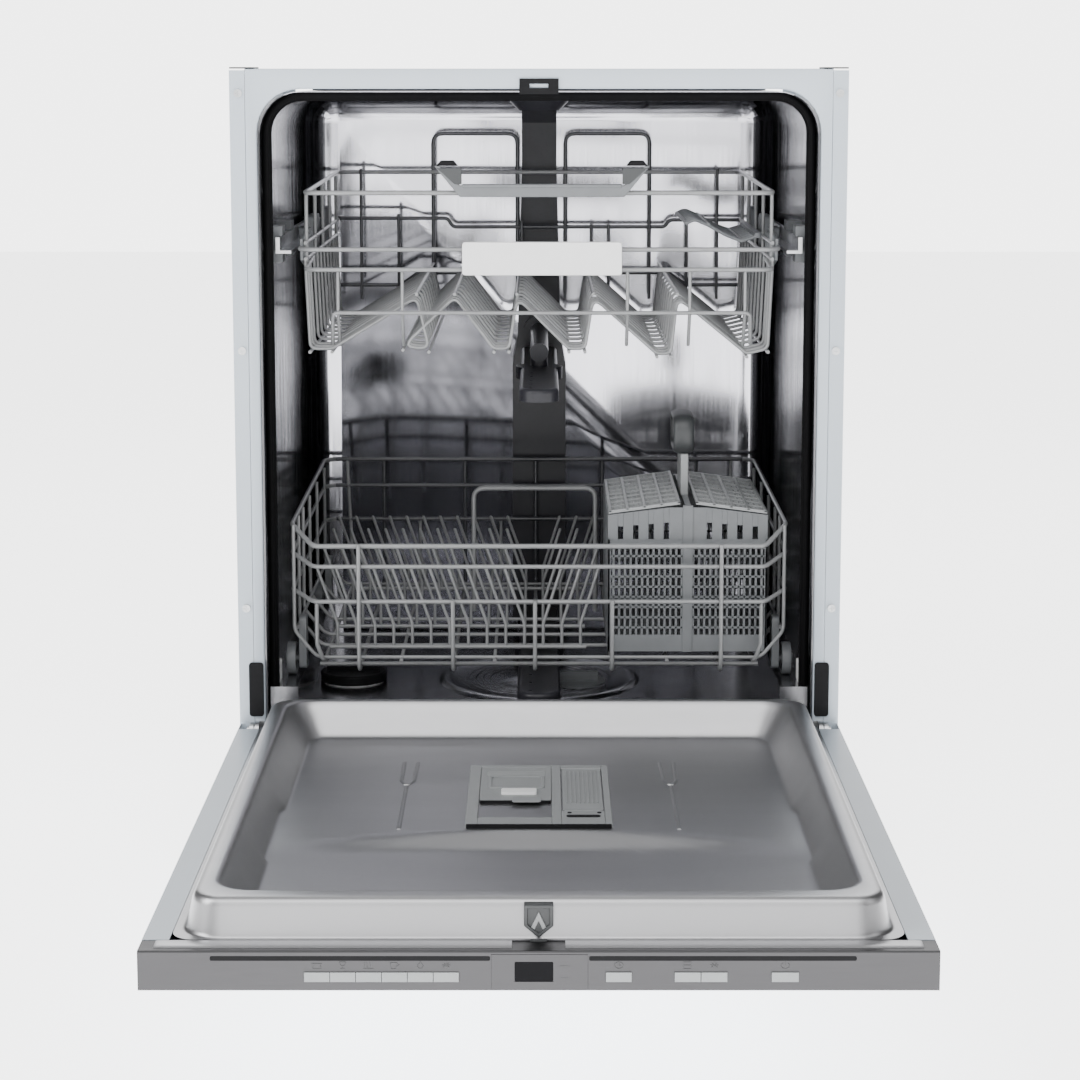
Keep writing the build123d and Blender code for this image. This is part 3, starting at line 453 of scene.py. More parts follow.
def step_out(x, y):
    """The side walls' shallow step outwards, halfway along the recess."""
    if abs(x) < FLOOR_HALF - 12:
        return 0.0
    far, near = (min(1.0, max(0.0, reach / STEP_RAMP)) for reach in (y - STEP_FAR, STEP_NEAR - y))
    return STEP_OUT * far * near * (1 if x > 0 else -1)


def make_liner():
    bm = bmesh.new()
    def ring(half, far, near, radius, z, wavy=0.0):
        loop = round_rect(-half, half, far, near, radius, 8, 40)
        return [(x + step_out(x, y) * wavy, y, z) for x, y in loop]
    def outside(inset, z):
        return ring(RIM_HALF - inset, RIM_FAR + inset, RIM_NEAR - inset, 30 - min(inset, 10), z)
    def inside(t, z, wavy=0.0):
        return ring(LIP_HALF + (FLOOR_HALF - LIP_HALF) * t, LIP_FAR + (FLOOR_FAR - LIP_FAR) * t,
                    LIP_NEAR + (FLOOR_NEAR - LIP_NEAR) * t, 28 - 12 * t, z, wavy)
    depth = RIM_Z - FLOOR_Z
    loops = [ring(276.6, -633.6, -6.2, 18, FLANGE_Z - 0.7), ring(276.9, -634, -6, 18, FLANGE_Z),
             outside(-3.2, FLANGE_Z), outside(-1.4, FLANGE_Z + 0.5), outside(-0.3, FLANGE_Z + 2),
             outside(0.4, FLANGE_Z + 4), outside(4.6, RIM_Z - 7), outside(5.6, RIM_Z - 4),
             outside(7.2, RIM_Z - 1.7), outside(9.6, RIM_Z - 0.4), outside(12.5, RIM_Z),
             inside(-0.12, RIM_Z), inside(0.0, RIM_Z - 0.4), inside(0.06, RIM_Z - 1.6)]
    for t in (0.15, 0.35, 0.6, 0.8, 0.9):
        loops.append(inside(t, RIM_Z - depth * t, max(0.0, (t - 0.3) / 0.7)))
    for t, z in ((0.97, FLOOR_Z + 1.2), (1.03, FLOOR_Z + 0.2)):
        loops.append(inside(t, z, 1.0))
    for n in range(1, FLOOR_RINGS):
        shrink = n / FLOOR_RINGS
        half = FLOOR_HALF * (1 - shrink) + CORE_HALF_X * shrink
        far = FLOOR_FAR * (1 - shrink) + (CORE_Y - CORE_HALF_Y) * shrink
        near = FLOOR_NEAR * (1 - shrink) + (CORE_Y + CORE_HALF_Y) * shrink
        loop = ring(half, far, near, max(12 * (1 - shrink), 0.5), 0, 1 - shrink)
        fade = min(1.0, n / 2)
        loops.append([(x, y, floor_height(x, y) * fade + FLOOR_Z * (1 - fade)) for x, y, _ in loop])
    rings(bm, loops, close_end=True)
    piece("door_inner_sheet", bm, DOOR_STEEL, "door", ("door_liner",), angle=60)

    beads = bmesh.new()
    for side in (-1, 1):
        u_shape = [(side * 127, -140), (side * 126.5, -200), (side * 121, -218), (side * 115, -200),
                   (side * 114, -140)]
        stem = [(side * 121, -218), (side * 121, -350)]
        for line in (u_shape, stem):
            path = bend([(x, y, 0) for x, y in line], 6, False, 3)
            fine = []
            for a, b in zip(path, path[1:]):
                parts = max(1, int((b - a).length / 8))
                fine += [a.lerp(b, k / parts) for k in range(parts)]
            fine.append(path[-1])
            tube(beads, [(p.x, p.y, floor_height(p.x, p.y) - 0.9) for p in fine], 2.2, 10)
    piece("door_inner_beads", beads, DOOR_STEEL, "door", (), angle=60)


def make_latch():
    bm = bmesh.new()
    shield = [(-11, 193), (11, 193), (11, 176.5), (0, 167.2), (-11, 176.5)]
    inner = [(-8.4, 190.4), (8.4, 190.4), (8.4, 177.8), (0, 170.6), (-8.4, 177.8)]
    eased = [(x * 0.97, 180 + (z - 180) * 0.97) for x, z in shield]
    rings(bm, [[(x, y, z) for x, z in loop] for loop, y in
               ((shield, -614), (shield, -633.6), (eased, -634.6), (inner, -634.6), (inner, -632.8))], True, True)
    slab(bm, [(-5, 160.5), (5, 160.5), (6.5, 166.6), (-6.5, 166.6)], "xz", -637.6, -634.3)
    piece("latch_shield", bm, DARK_GREY_AND_SHADE, "door", ("latch_housing",), 0.5)
    bm = bmesh.new()
    chevron = [(-5.6, 175.5), (0, 187.5), (5.6, 175.5), (3.1, 173.6), (0, 180.5), (-3.1, 173.6)]
    slab(bm, chevron, "xz", -634.2, -632.4)
    piece("latch_chevron", bm, LIGHT, "door", (), 0.4)


def make_dispenser():
    x0, x1, y0, y1 = -64.0, 64.0, -346.0, -158.0
    top, low = 166.9, 161.0
    left, right, far, near = -53.5, 11.5, -324.0, -165.5
    well_x0, well_x1 = 20, 58
    bm = bmesh.new()
    block(bm, x0, left, y0, y1, low, top)
    block(bm, right, well_x0, y0, y1, low, top)
    block(bm, well_x1, x1, y0, y1, low, top)
    block(bm, well_x0, well_x1, y0, -305, low, top)
    block(bm, well_x0, well_x1, -169, y1, low, top)
    block(bm, left, right, y0, far, low, top)
    block(bm, left, right, near, y1, low, top)
    # the track's floor with the cup's walls below it, then the floor of the rinse-aid well
    cup_x0, cup_x1, cup_edge, cup_low, track_floor = -50, 8, -268, 142, 162.6
    block(bm, left, right, far, cup_edge, low, track_floor)
    block(bm, left, cup_x0, cup_edge, near, cup_low, track_floor)
    block(bm, cup_x1, right, cup_edge, near, cup_low, track_floor)
    block(bm, cup_x0, cup_x1, -170, near, cup_low, track_floor)
    block(bm, cup_x0, cup_x1, cup_edge, -166, 141, 142.5)
    block(bm, cup_x0, cup_x1, -269.5, cup_edge, cup_low, track_floor)
    block(bm, well_x0, well_x1, -305, -169, 158, 162.4)
    piece("dispenser_frame", bm, LIGHT, "door", ("dispenser_body",), 0.7)

    # dark marks: a line along the edge by the fascia, a slot and its two dots
    bm = bmesh.new()
    slab(bm, round_rect(24, 54, -324.5, -317.5, 3.4, 4), "xy", 166.7, 167.25)
    slab(bm, round_rect(x0 + 1, x1 - 1, y0 - 1.6, y0 + 1.4, 1.3, 3), "xy", 163.6, 167.1)
    for x in (27, 53):
        tube(bm, [(x, -311, 166.5), (x, -311, 167.4)], 1.9, 12)
    piece("dispenser_marks", bm, DARK, "door", ())

    bm = bmesh.new()
    lid = round_rect(-53.2, 11.2, -271.8, -165.8, 3, 4)
    slab(bm, lid, "xy", 163.2, 166.8)
    for n in range(3):
        block(bm, -48, 6, -182 - n * 5.0, -179.5 - n * 5.0, 166.6, 167.5)
    ridge = round_rect(-46, 5, -236, -196, 4, 4)
    inner = round_rect(-43, 2, -233, -199, 3, 4)
    levels = ((ridge, 166.6), (ridge, 168.0), (inner, 168.0), (inner, 166.9))
    rings(bm, [[(x, y, z) for x, y in loop] for loop, z in levels])
    # the tab is above the frame, which it passes over as the lid slides open
    slab(bm, round_rect(-24, 2, -281, -266, 3, 4), "xy", 167.2, 168.3)
    block(bm, -23, 1, -271.4, -267, 166.5, 167.6)
    piece("detergent_slide", bm, LIGHT, "detergent_lid", ("detergent_lid",), 0.5)
    # a dark strip round the lid's front edge: painted shadow under the edge, riding with the lid
    bm = bmesh.new()
    slab(bm, round_rect(-52.5, 10.5, -273.4, -271.6, 0.6, 2), "xy", 163.3, 166.6)
    piece("detergent_slide_painted_shadow_edge", bm, DARK, "detergent_lid", ())
    bm = bmesh.new()
    slab(bm, round_rect(-34, -2, -256, -241, 2, 4), "xy", 166.7, 169.0)
    piece("detergent_slide_grip", bm, WHITE, "detergent_lid", (), 0.5)

    bm = bmesh.new()
    slab(bm, round_rect(21.2, 56.8, -303.8, -171.2, 3, 4), "xy", 163.2, 166.9)
    for rib in range(8):
        x = 24.5 + rib * 3.9
        slab(bm, round_rect(x, x + 1.3, -282, -180, 0.6, 2), "xy", 166.8, 167.7)
    piece("rinse_aid_cover", bm, LIGHT, "rinse_lid", ("rinse_aid_lid",), 0.4)


ICONS = {
    "pot": [[(0, 0), (0.12, 0.75), (0.88, 0.75), (1, 0)], [(-0.12, 0.75), (1.12, 0.75)], [(0, 0), (1, 0)]],
    "glass": [[(0.1, 1), (0.3, 0.45), (0.7, 0.45), (0.9, 1), (0.1, 1)], [(0.5, 0.45), (0.5, 0)],
              [(0.25, 0), (0.75, 0)]],
    "plates": [[(0, 0), (0, 0.9)], [(0.33, 0), (0.33, 0.9)], [(0.66, 0), (0.66, 0.9)], [(-0.1, 0), (1.1, 0)]],
    "cup": [[(0, 0.9), (0.1, 0), (0.7, 0), (0.8, 0.9), (0, 0.9)], [(0.8, 0.7), (1.1, 0.6), (0.75, 0.3)]],
    "drop": [[(0.5, 1), (0.15, 0.4), (0.3, 0.05), (0.7, 0.05), (0.85, 0.4), (0.5, 1)]],
    "sun": [[(0.5, 0), (0.5, 1)], [(0, 0.5), (1, 0.5)], [(0.15, 0.15), (0.85, 0.85)],
            [(0.15, 0.85), (0.85, 0.15)]],
    "clock": [[(0.5 + 0.5 * cos(n * pi / 6), 0.5 + 0.5 * sin(n * pi / 6)) for n in range(13)],
              [(0.5, 0.85), (0.5, 0.5), (0.75, 0.5)]],
    "half": [[(0, 0), (0, 1), (0.9, 1), (0.9, 0), (0, 0)], [(0, 0.5), (0.9, 0.5)]],
    "power": [[(0.5 + 0.5 * cos(n * pi / 6 + 2.1), 0.45 + 0.45 * sin(n * pi / 6 + 2.1)) for n in range(11)],
              [(0.5, 0.5), (0.5, 1.05)]],
}


def make_icons():
    """Plain printed marks above the keys and beside the display."""
    bm = bmesh.new()
    programs = ("pot", "glass", "plates", "cup", "drop", "sun")
    places = [(f"key_program_{n + 1}", kind) for n, kind in enumerate(programs)]
    places += [("key_delay", "clock"), ("key_half_load", "half"), ("key_extra_dry", "sun"),
               ("key_power", "power")]
    spots = []
    for node, kind in places:
        low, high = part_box(node)
        spots.append((kind, (low.x + high.x) / 2 / MM - 3.2, 152.2, 6.4))
    spots += [("drop", 28.0, 152.5, 4.4), ("half", 28.0, 143.0, 4.4)]
    for kind, x, z, size in spots:
        for line in ICONS[kind]:
            path = [(x + u * size, -658.05, z + v * size * 0.8) for u, v in line]
            tube(bm, path, 0.34, 6)
    for z in (154.2, 145.0):
        slab(bm, round_rect(15.5, 22.5, z - 0.5, z + 0.5, 0.4, 2), "xz", -658.55, -658.3)
    piece("fascia_icons", bm, INK, "door", ())


def make_display():
    bm = bmesh.new()
    slab(bm, round_rect(-17.8, 10.8, 142.2, 157.3, 1.2, 4), "xz", -658.2, -657.3)
    piece("display_window", bm, GLASS, "door", (), 0.15)


def make_slots():
    """The dark air slots above the keys."""
    bm = bmesh.new()
    for x0, x1 in ((-244, -36), (37.5, 236)):
        slab(bm, round_rect(x0, x1, 158.2, 161.8, 1.2, 3), "xz", -658.12, -656.8)
    piece("fascia_slots", bm, DARK, "door", ())


# half the break in the fascia strip, which makes room for the latch strike when the door is closed
STRIKE_ROOM = max(abs(corner_point.x) for corner_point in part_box("latch_strike")) / MM + 1.0


def make_trim_strip():
    """The rolled strip between the fascia and the door's rim."""
    bm = bmesh.new()
    # its top stays below the 3 mm that the closed door leaves in front of the frame
    profile = [(-651.5, 165.4), (-651.5, 166.1), (-650, 166.8), (-647, 167.2), (-642, 167.2), (-638, 166.9),
               (-635.5, 166.2), (-634.8, 165.5)]
    for side in (-1, 1):
        loops = []
        for x, shrink in ((STRIKE_ROOM, 1), (281, 1), (284, 0.95), (286.2, 0.8), (287, 0.55)):
            loops.append([(side * x, y, 165.4 + (z - 165.4) * shrink) for y, z in profile])
        rings(bm, loops, True, True)
    piece("fascia_top_strip", bm, DOOR_STEEL, "door", (), angle=50)


# ---------------------------------------------------------------- lower rack
FRONT_Y, REAR_Y = 45.0, 465.0
LOWER_SIDE = 251.0
RIMS = ((337, 355, 361, 2.6), (316, 326, 330, 2.3), (280, 288, 290, 2.3))
COMB_Y = 190.0
TINE_FROM, TINE_PITCH, TINE_COUNT, TINE_SPLIT = -208.0, 19.3, 14, -10.0
WHEEL_FRONT, WHEEL_REAR, AXLE_Z = 85, 400, 212.8


def tine_row(bm, y, base):
    wire(bm, [(TINE_FROM - 8, y, base), (TINE_FROM + TINE_PITCH * (TINE_COUNT - 1) + 6, y, base)], 2.2)
    for n in range(TINE_COUNT):
        x = TINE_FROM + n * TINE_PITCH
        lean = -21 if x < TINE_SPLIT else 19
        path = [(x, y, base), (x, y, base + 24), (x + lean, y, base + 84)]
        wire(bm, path, 1.7, 14)
        tip = Vector(path[-1])
        tube(bm, [tip, tip + Vector((0, 0, 0.9))], 1.2, 8)


def make_lower_rack():
    bm = bmesh.new()
    # the rear wires go in a second mesh with the darker wire: painted shade
    rear = bmesh.new()
    for front_z, side_z, back_z, radius in RIMS:
        half = [(228, FRONT_Y, front_z), (LOWER_SIDE, FRONT_Y + 24, side_z), (LOWER_SIDE, REAR_Y - 12, back_z),
                (LOWER_SIDE - 12, REAR_Y, back_z)]
        path = [(-x, y, z) for x, y, z in reversed(half)] + half
        wire(bm, path, radius, 12)
        wire(rear, [(-LOWER_SIDE + 11, REAR_Y, back_z), (LOWER_SIDE - 11, REAR_Y, back_z)], radius)
    for x in (-182, -87, -4, 74, 184):
        top = 337 if abs(x) > 100 else 280
        wire(bm, [(x, FRONT_Y - 4, top + 2), (x, FRONT_Y - 4, 209), (x, REAR_Y - 8, 214)], 2.2, 12)
        wire(rear, [(x, REAR_Y - 9, 214), (x, REAR_Y + 3.5, 214), (x, REAR_Y + 3.5, 361)], 2.2, 12)
    for x in (-225, 225):
        wire(bm, [(x, FRONT_Y + 2, 280), (x, FRONT_Y + 1, 236), (x * 0.97, FRONT_Y + 4, 216),
                  (x * 0.97, REAR_Y, 216), (x, REAR_Y, 361)], 2.2, 14)
    for x in (-140, -45, 130):
        wire(bm, [(x, FRONT_Y + 3, 218), (x, REAR_Y, 218), (x, REAR_Y + 3, 290)], 1.9, 12)
    for y in (60, 115, 165, 240, 330, 430):
        wire(bm, [(-249, y, 356), (-249, y, 247), (-226, y, 219), (226, y, 219), (249, y, 247), (249, y, 356)],
             2.0, 16)
    for side in (-1, 1):
        wire(bm, [(side * 222, FRONT_Y, 216), (-side * 222, FRONT_Y, 216)], 2.2)
        wire(bm, [(side * 247, 70, 248), (side * 247, 450, 248)], 2.0)
    for y in (95, 310, 390):
        tine_row(bm, y, 222)
    wire(bm, [(-72, 287, 218), (-72, 287, 356), (62, 287, 356), (62, 287, 218)], 2.8, 12)
    piece("lower_rack_wires", bm, WIRE_COAT, "lower_rack", ("lower_rack_frame",), angle=60)
    piece("lower_rack_rear_wires", rear, WIRE_PAINTED_SHADE, "lower_rack", (), angle=60)

    bm = bmesh.new()
    for y in (WHEEL_FRONT, WHEEL_REAR):
        for side in (-1, 1):
            x0, x1 = sorted((side * 238.5, side * 246.5))
            slab(bm, round_rect(y - 9, y + 9, 203, 258, 5, 4), "yz", x0, x1)
            tube(bm, [(side * 246, y, AXLE_Z), (side * 259.6, y, AXLE_Z)], 3.0, 12)
            tube(bm, [(side * 259.2, y, AXLE_Z), (side * 261.2, y, AXLE_Z)], 5.2, 16)
    piece("lower_rack_hubs", bm, GREY, "lower_rack", (), 0.7)

    for name, y in (("lower_wheels_front", WHEEL_FRONT), ("lower_wheels_rear", WHEEL_REAR)):
        bm = bmesh.new()
        for side in (-1, 1):
            wheel(bm, side, y, AXLE_Z)
        piece(name + "_spoked", bm, GREY, name, (name,), 0.3, angle=40)

    bm = bmesh.new()
    tine_row(bm, COMB_Y, 222.4)
    piece("folding_tines", bm, WIRE_COAT, "comb", ("tine_comb",), angle=60)


def wheel(bm, side, y, z):
    """A rack wheel with a rim, a hub and six spokes."""
    def circle(radius, x, steps=40):
        turns = [2 * pi * n / steps for n in range(steps)]
        return [(side * x, y + radius * cos(turn), z + radius * sin(turn)) for turn in turns]
    rings(bm, [circle(16.4, 249.4), circle(16.5, 250), circle(16.5, 258), circle(16.4, 258.6), circle(14, 258.8),
               circle(13.2, 257), circle(13.2, 251), circle(14, 249.2)], closed=True)
    rings(bm, [circle(5.4, 249.2), circle(5.4, 259), circle(3.2, 259), circle(3.2, 249.2)], closed=True)
    for n in range(6):
        turn = 2 * pi * n / 6
        c, s = cos(turn), sin(turn)
        loop = []
        for r, w in ((5, -1.3), (13.6, -1.3), (13.6, 1.3), (5, 1.3)):
            loop.append((y + r * c - w * s, z + r * s + w * c))
        rings(bm, [[(side * x, a, b) for a, b in loop] for x in (252, 256)], True, True)


BASKET = (70.0, 232.0, 62.0, 262.0)
BASKET_LOW, BASKET_EDGE, BASKET_RIDGE, BASKET_X = 224.5, 366.0, 376.0, 151.0
GRID_LOW, GRID_HIGH, BAND_Z = 239.0, 334.0, 341.0
LID_REACH, LID_TILT, LID_HINGE_X, LID_TOP = 74.0, asin(10 / 75), 7, 379.4


def make_basket():
    x0, x1, y0, y1 = BASKET
    thick = 2.2
    bm = bmesh.new()
    def front(u, v, w): return (x0 + u, y0 + w, GRID_LOW + v)
    def back(u, v, w): return (x0 + u, y1 - w, GRID_LOW + v)
    def left(u, v, w): return (x0 + w, y0 + u, GRID_LOW + v)
    def right(u, v, w): return (x1 - w, y0 + u, GRID_LOW + v)
    def middle(u, v, w): return (BASKET_X - 1.1 + w, y0 + u, GRID_LOW + v)
    wide, deep, tall = x1 - x0, y1 - y0, GRID_HIGH - GRID_LOW
    for place, width, columns in ((front, wide, 28), (back, wide, 28), (left, deep, 32), (right, deep, 32),
                                  (middle, deep, 32)):
        lattice(bm, place, width, tall, columns, 9, 2.4, thick, 3.0)
    # base band and floor
    for a, b, c, d in ((x0, x1, y0, y0 + thick), (x0, x1, y1 - thick, y1), (x0, x0 + thick, y0, y1),
                       (x1 - thick, x1, y0, y1)):
        block(bm, a - 0.15, b + 0.15, c - 0.15, d + 0.15, BASKET_LOW, GRID_LOW + 1)
        block(bm, a - 0.15, b + 0.15, c - 0.15, d + 0.15, GRID_HIGH - 1, BAND_Z)
    def ground(u, v, w): return (x0 + u, y0 + v, BASKET_LOW + w)
    lattice(bm, ground, wide, deep, 24, 30, 2.6, 2.2, 4)
    # the band with windows under the roof, front and back, and plain sides
    windows = [(x0 + 10 + n * 15.5, 5.4, 346 + n * 1.3) for n in range(4)]
    windows += [(x1 - 15.4 - n * 15.5, 5.4, 346 + n * 1.3) for n in range(4)]
    windows.sort()
    for face in (y0, y1 - thick):
        edge = x0
        for x, w, top in windows + [(x1, 0, BAND_Z)]:
            roof_a, roof_b = roof(edge), roof(min(x, x1))
            outline = [(edge, 340.5), (min(x, x1), 340.5), (min(x, x1), roof_b), (edge, roof_a)]
            slab(bm, outline, "xz", face, face + thick)
            if w:
                lintel = [(x, top + 8), (x + w, top + 8), (x + w, roof(x + w)), (x, roof(x))]
                slab(bm, lintel, "xz", face, face + thick)
                edge = x + w
    for x in (x0, x1 - thick):
        block(bm, x - 0.1, x + thick - 0.1, y0 + 0.1, y1 - 0.1, 340.8, BASKET_EDGE - 0.2)
    block(bm, BASKET_X - 5, BASKET_X + 5, y0 - 1.2, y0 + 4, BASKET_LOW - 0.3, BASKET_RIDGE - 0.4)
    block(bm, BASKET_X - 5, BASKET_X + 5, y1 - 4, y1 + 1.2, BASKET_LOW - 0.3, BASKET_RIDGE - 0.4)
    block(bm, BASKET_X - 3, BASKET_X + 3, y0 + 4, y1 - 4, 368, BASKET_RIDGE - 0.2)
    piece("cutlery_basket_walls", bm, GREY, "lower_rack", ("cutlery_basket",), 0.25, 1)

    bm = bmesh.new()
    slab(bm, [(129, 374), (195, 374), (195, 418), (129, 418)], "yz", BASKET_X - 4, BASKET_X + 4)
    piece("cutlery_basket_grip", bm, LIGHT, "lower_rack", (), 1.2, 3)
    bm = bmesh.new()
    hole = bend([(131, 0, 421), (193, 0, 421), (195, 0, 454), (129, 0, 454)], 13, True, 5)
    tube(bm, [(BASKET_X - 1, p.x, p.z) for p in hole], 4.6, 16, True, 2.4, up=(1, 0, 0))
    piece("cutlery_basket_head", bm, DARK_GREY_AND_SHADE, "lower_rack", (), 1.2, 3)

    for side, node in ((-1, "left"), (1, "right")):
        bm = bmesh.new()
        def lid(u, v, w, side=side):
            u = u + 1
            return (BASKET_X + side * (LID_HINGE_X + u * cos(LID_TILT)), y0 + 1 + v,
                    LID_TOP - u * sin(LID_TILT) - 2.6 + w)
        lattice(bm, lid, LID_REACH - 1, y1 - y0 - 2, 14, 34, 1.7, 1.6, 3.4)
        for n in range(5):
            def rib(u, v, w, n=n):
                return lid(n * (LID_REACH - 4) / 4 + u, v, 1.4 + w)
            loop = [(0, 0), (2.6, 0), (2.6, y1 - y0 - 2), (0, y1 - y0 - 2)]
            rings(bm, [[rib(u, v, w) for u, v in loop] for w in (0, 2.0)], True, True)
        for n in range(9):
            v = n * (y1 - y0 - 5) / 8
            loop = [(0, v), (LID_REACH - 1, v), (LID_REACH - 1, v + 2.6), (0, v + 2.6)]
            rings(bm, [[lid(a, b, w) for a, b in loop] for w in (1.4, 3.2)], True, True)
        piece(f"cutlery_lid_{node}_grid", bm, LIGHT, f"basket_lid_{node}",
              (f"cutlery_lid_{node}",), 0.2, 1)


def roof(x):
    """The height of the basket's roof line at x."""
    return BASKET_RIDGE - (BASKET_RIDGE - BASKET_EDGE) * abs(x - BASKET_X) / (BASKET[1] - BASKET_X)


# ---------------------------------------------------------------- upper rack
UPPER_SIDE, UPPER_BACK = 232.0, 460.0
VALLEY, PEAK = 536.0, 588.0
ZIGZAG = [(-UPPER_SIDE - 1, 626), (-UPPER_SIDE + 3, VALLEY), (-207, VALLEY), (-122, PEAK), (-110, VALLEY),
          (-136, VALLEY + 2), (-84, PEAK), (-45, VALLEY), (-30, VALLEY), (-22, PEAK), (30, VALLEY), (46, VALLEY),
          (54, PEAK), (118, VALLEY - 5), (132, VALLEY - 5), (138, PEAK), (208, VALLEY - 5),
          (UPPER_SIDE - 3, VALLEY), (UPPER_SIDE + 1, 626)]


def make_upper_rack():
    bm = bmesh.new()
    front, back = FRONT_Y, UPPER_BACK
    wire(bm, [(-UPPER_SIDE, back, 696), (-UPPER_SIDE, front, 692), (UPPER_SIDE, front, 692),
              (UPPER_SIDE, back, 696)], 2.4, 14, True)
    for z, half in ((636, 238), (616, 232)):
        wire(bm, [(-half, 130, z + 6), (-half, front + 4, z), (-half + 12, front, z), (half - 12, front, z),
                  (half, front + 4, z), (half, 130, z + 6)], 2.3, 10)
    wire(bm, [(-207, front + 20, 540), (-205, front, 573), (210, front, 573), (212, front + 20, 540)], 2.0, 6)
    for x in (-200, -136, 88, 150, 205):
        wire(bm, [(x, front + 2, 616), (x, front + 2, 573), (x, front + 25, VALLEY + 2)], 1.7, 12)
    for side in (-1, 1):
        for z in (626, 642):
            wire(bm, [(side * UPPER_SIDE, front + 6, z), (side * UPPER_SIDE, back, z)], 1.9)
        for y in (64, 160, 250, 340, 430):
            wire(bm, [(side * UPPER_SIDE, y, 693), (side * UPPER_SIDE, y, 626)], 1.9)
    for y in (58, 82, 106, 150, 190, 230, 270, 310, 350, 390, 425, 448):
        wire(bm, [(x, y, z) for x, z in ZIGZAG], 1.7, 7)
    for x, z in ZIGZAG[1:-1]:
        below = -3.0 if z < 570 else 3.0
        wire(bm, [(x, 52, z + below), (x, back, z + below)], 1.7)
    piece("upper_rack_wires", bm, WIRE_COAT, "upper_rack", ("upper_rack_frame",), angle=60)

    # the rear wires, in the darker wire: painted shade
    bm = bmesh.new()
    back_wires = [[(-UPPER_SIDE, 643), (-105, 643), (-100, 633), (145, 633), (150, 641), (UPPER_SIDE, 641)],
                  [(-UPPER_SIDE, 566), (-160, 566), (-140, 580), (150, 580), (170, 566), (UPPER_SIDE, 566)]]
    for line in back_wires:
        wire(bm, [(x, back, z) for x, z in line], 2.2, 8)
    for x, top in ((-205, 700), (-162, 648), (-122, 643), (-20, 640), (30, 640), (60, 636), (80, 636),
                   (127, 636), (170, 643), (205, 700)):
        wire(bm, [(x, back - 3, top), (x, back - 3, 550)], 1.8)
    for x0, x1 in ((-122, -25), (30, 127)):
        wire(bm, [(x0, back + 1, 556), (x0, back + 1, 740), (x1, back + 1, 740), (x1, back + 1, 556)], 2.3, 12)
    piece("upper_rack_rear_wires", bm, WIRE_PAINTED_SHADE, "upper_rack", (), angle=60)

    bm = bmesh.new()
    grip = [(-103, 719), (-98, 719), (-78, 700), (84, 700), (104, 719), (109, 719), (84, 688.5), (-78, 688.5)]
    slab(bm, grip, "xz", 31, 36)
    slab(bm, round_rect(-76, 82, 30, 44, 2, 3), "xy", 697.5, 701)
    piece("upper_rack_grip", bm, GREY, "upper_rack", ("upper_rack_handle",), 1.0, 3)
    bm = bmesh.new()
    for x0, x1 in ((-101, -80), (86, 107)):
        slab(bm, [(x0, 719), (x1, 719), (x1 - 4, 724), (x0 + 4, 724)], "xz", 34, 46)
    piece("upper_rack_grip_ends", bm, DARK, "upper_rack", (), 0.8)
    # darker cheeks over the grip's sloped ends: painted shade where the slopes turn from the light
    bm = bmesh.new()
    slab(bm, [(-101, 717), (-76, 717), (-76, 701), (-83, 701)], "xz", 30.6, 35)
    slab(bm, [(107, 717), (82, 717), (82, 701), (89, 701)], "xz", 30.6, 35)
    piece("upper_rack_grip_cheeks_painted_shade", bm, DARK_GREY_AND_SHADE, "upper_rack", (), 0.6)
    bm = bmesh.new()
    slab(bm, round_rect(-76, 82, 611, 644, 3, 4), "xz", 36, 42)
    piece("upper_rack_name_plate", bm, WHITE, "upper_rack", ("upper_rack_plate",), 1.2, 3)

    bm = bmesh.new()
    for side in (-1, 1):
        for y in (240, 400):
            x0, x1 = sorted((side * 236, side * 245.2))
            slab(bm, round_rect(y - 22, y + 22, 612, 660, 6, 4), "yz", x0, x1)
            x0, x1 = sorted((side * 245.2, side * 255.3))
            slab(bm, round_rect(y - 16, y + 16, 635.5, 646.8, 2, 3), "yz", x0, x1)
        x0, x1 = sorted((side * 234.6, side * 238))
        plate = [(52, 646), (96, 652), (150, 652), (150, 622), (96, 616), (58, 624)]
        slab(bm, plate, "yz", x0, x1)
        for n in range(5):
            y = 62 + n * 18
            x0, x1 = sorted((side * 232.5, side * 235))
            slab(bm, [(y, 622), (y + 3, 622), (y + 3, 648), (y, 648)], "yz", x0, x1)
    piece("upper_rack_side_brackets", bm, GREY, "upper_rack", ("upper_rack_brackets",), 0.8)

    bm = bmesh.new()
    path = [(150, 0, 658), (158, 0, 662), (172, 0, 656), (190, 0, 646), (206, 0, 640), (222, 0, 645)]
    for y in (112, 136, 160, 184, 208, 232, 256, 280, 298):
        wire(bm, [(x, y, z) for x, _, z in path], 1.8, 9)
    for x, z in ((150, 658), (172, 657), (206, 640.5)):
        wire(bm, [(x, 110, z), (x, 300, z)], 2.0)
    slab(bm, round_rect(219, 226, 110, 300, 2, 3), "xy", 643.2, 648.5)
    piece("cup_shelf_wires", bm, GREY, "shelf", ("cup_shelf",), 0.4)


# ---------------------------------------------------------------- carried-over CAD nodes
KEY_BEVEL, PLAIN_BEVEL = 0.45, 0.4


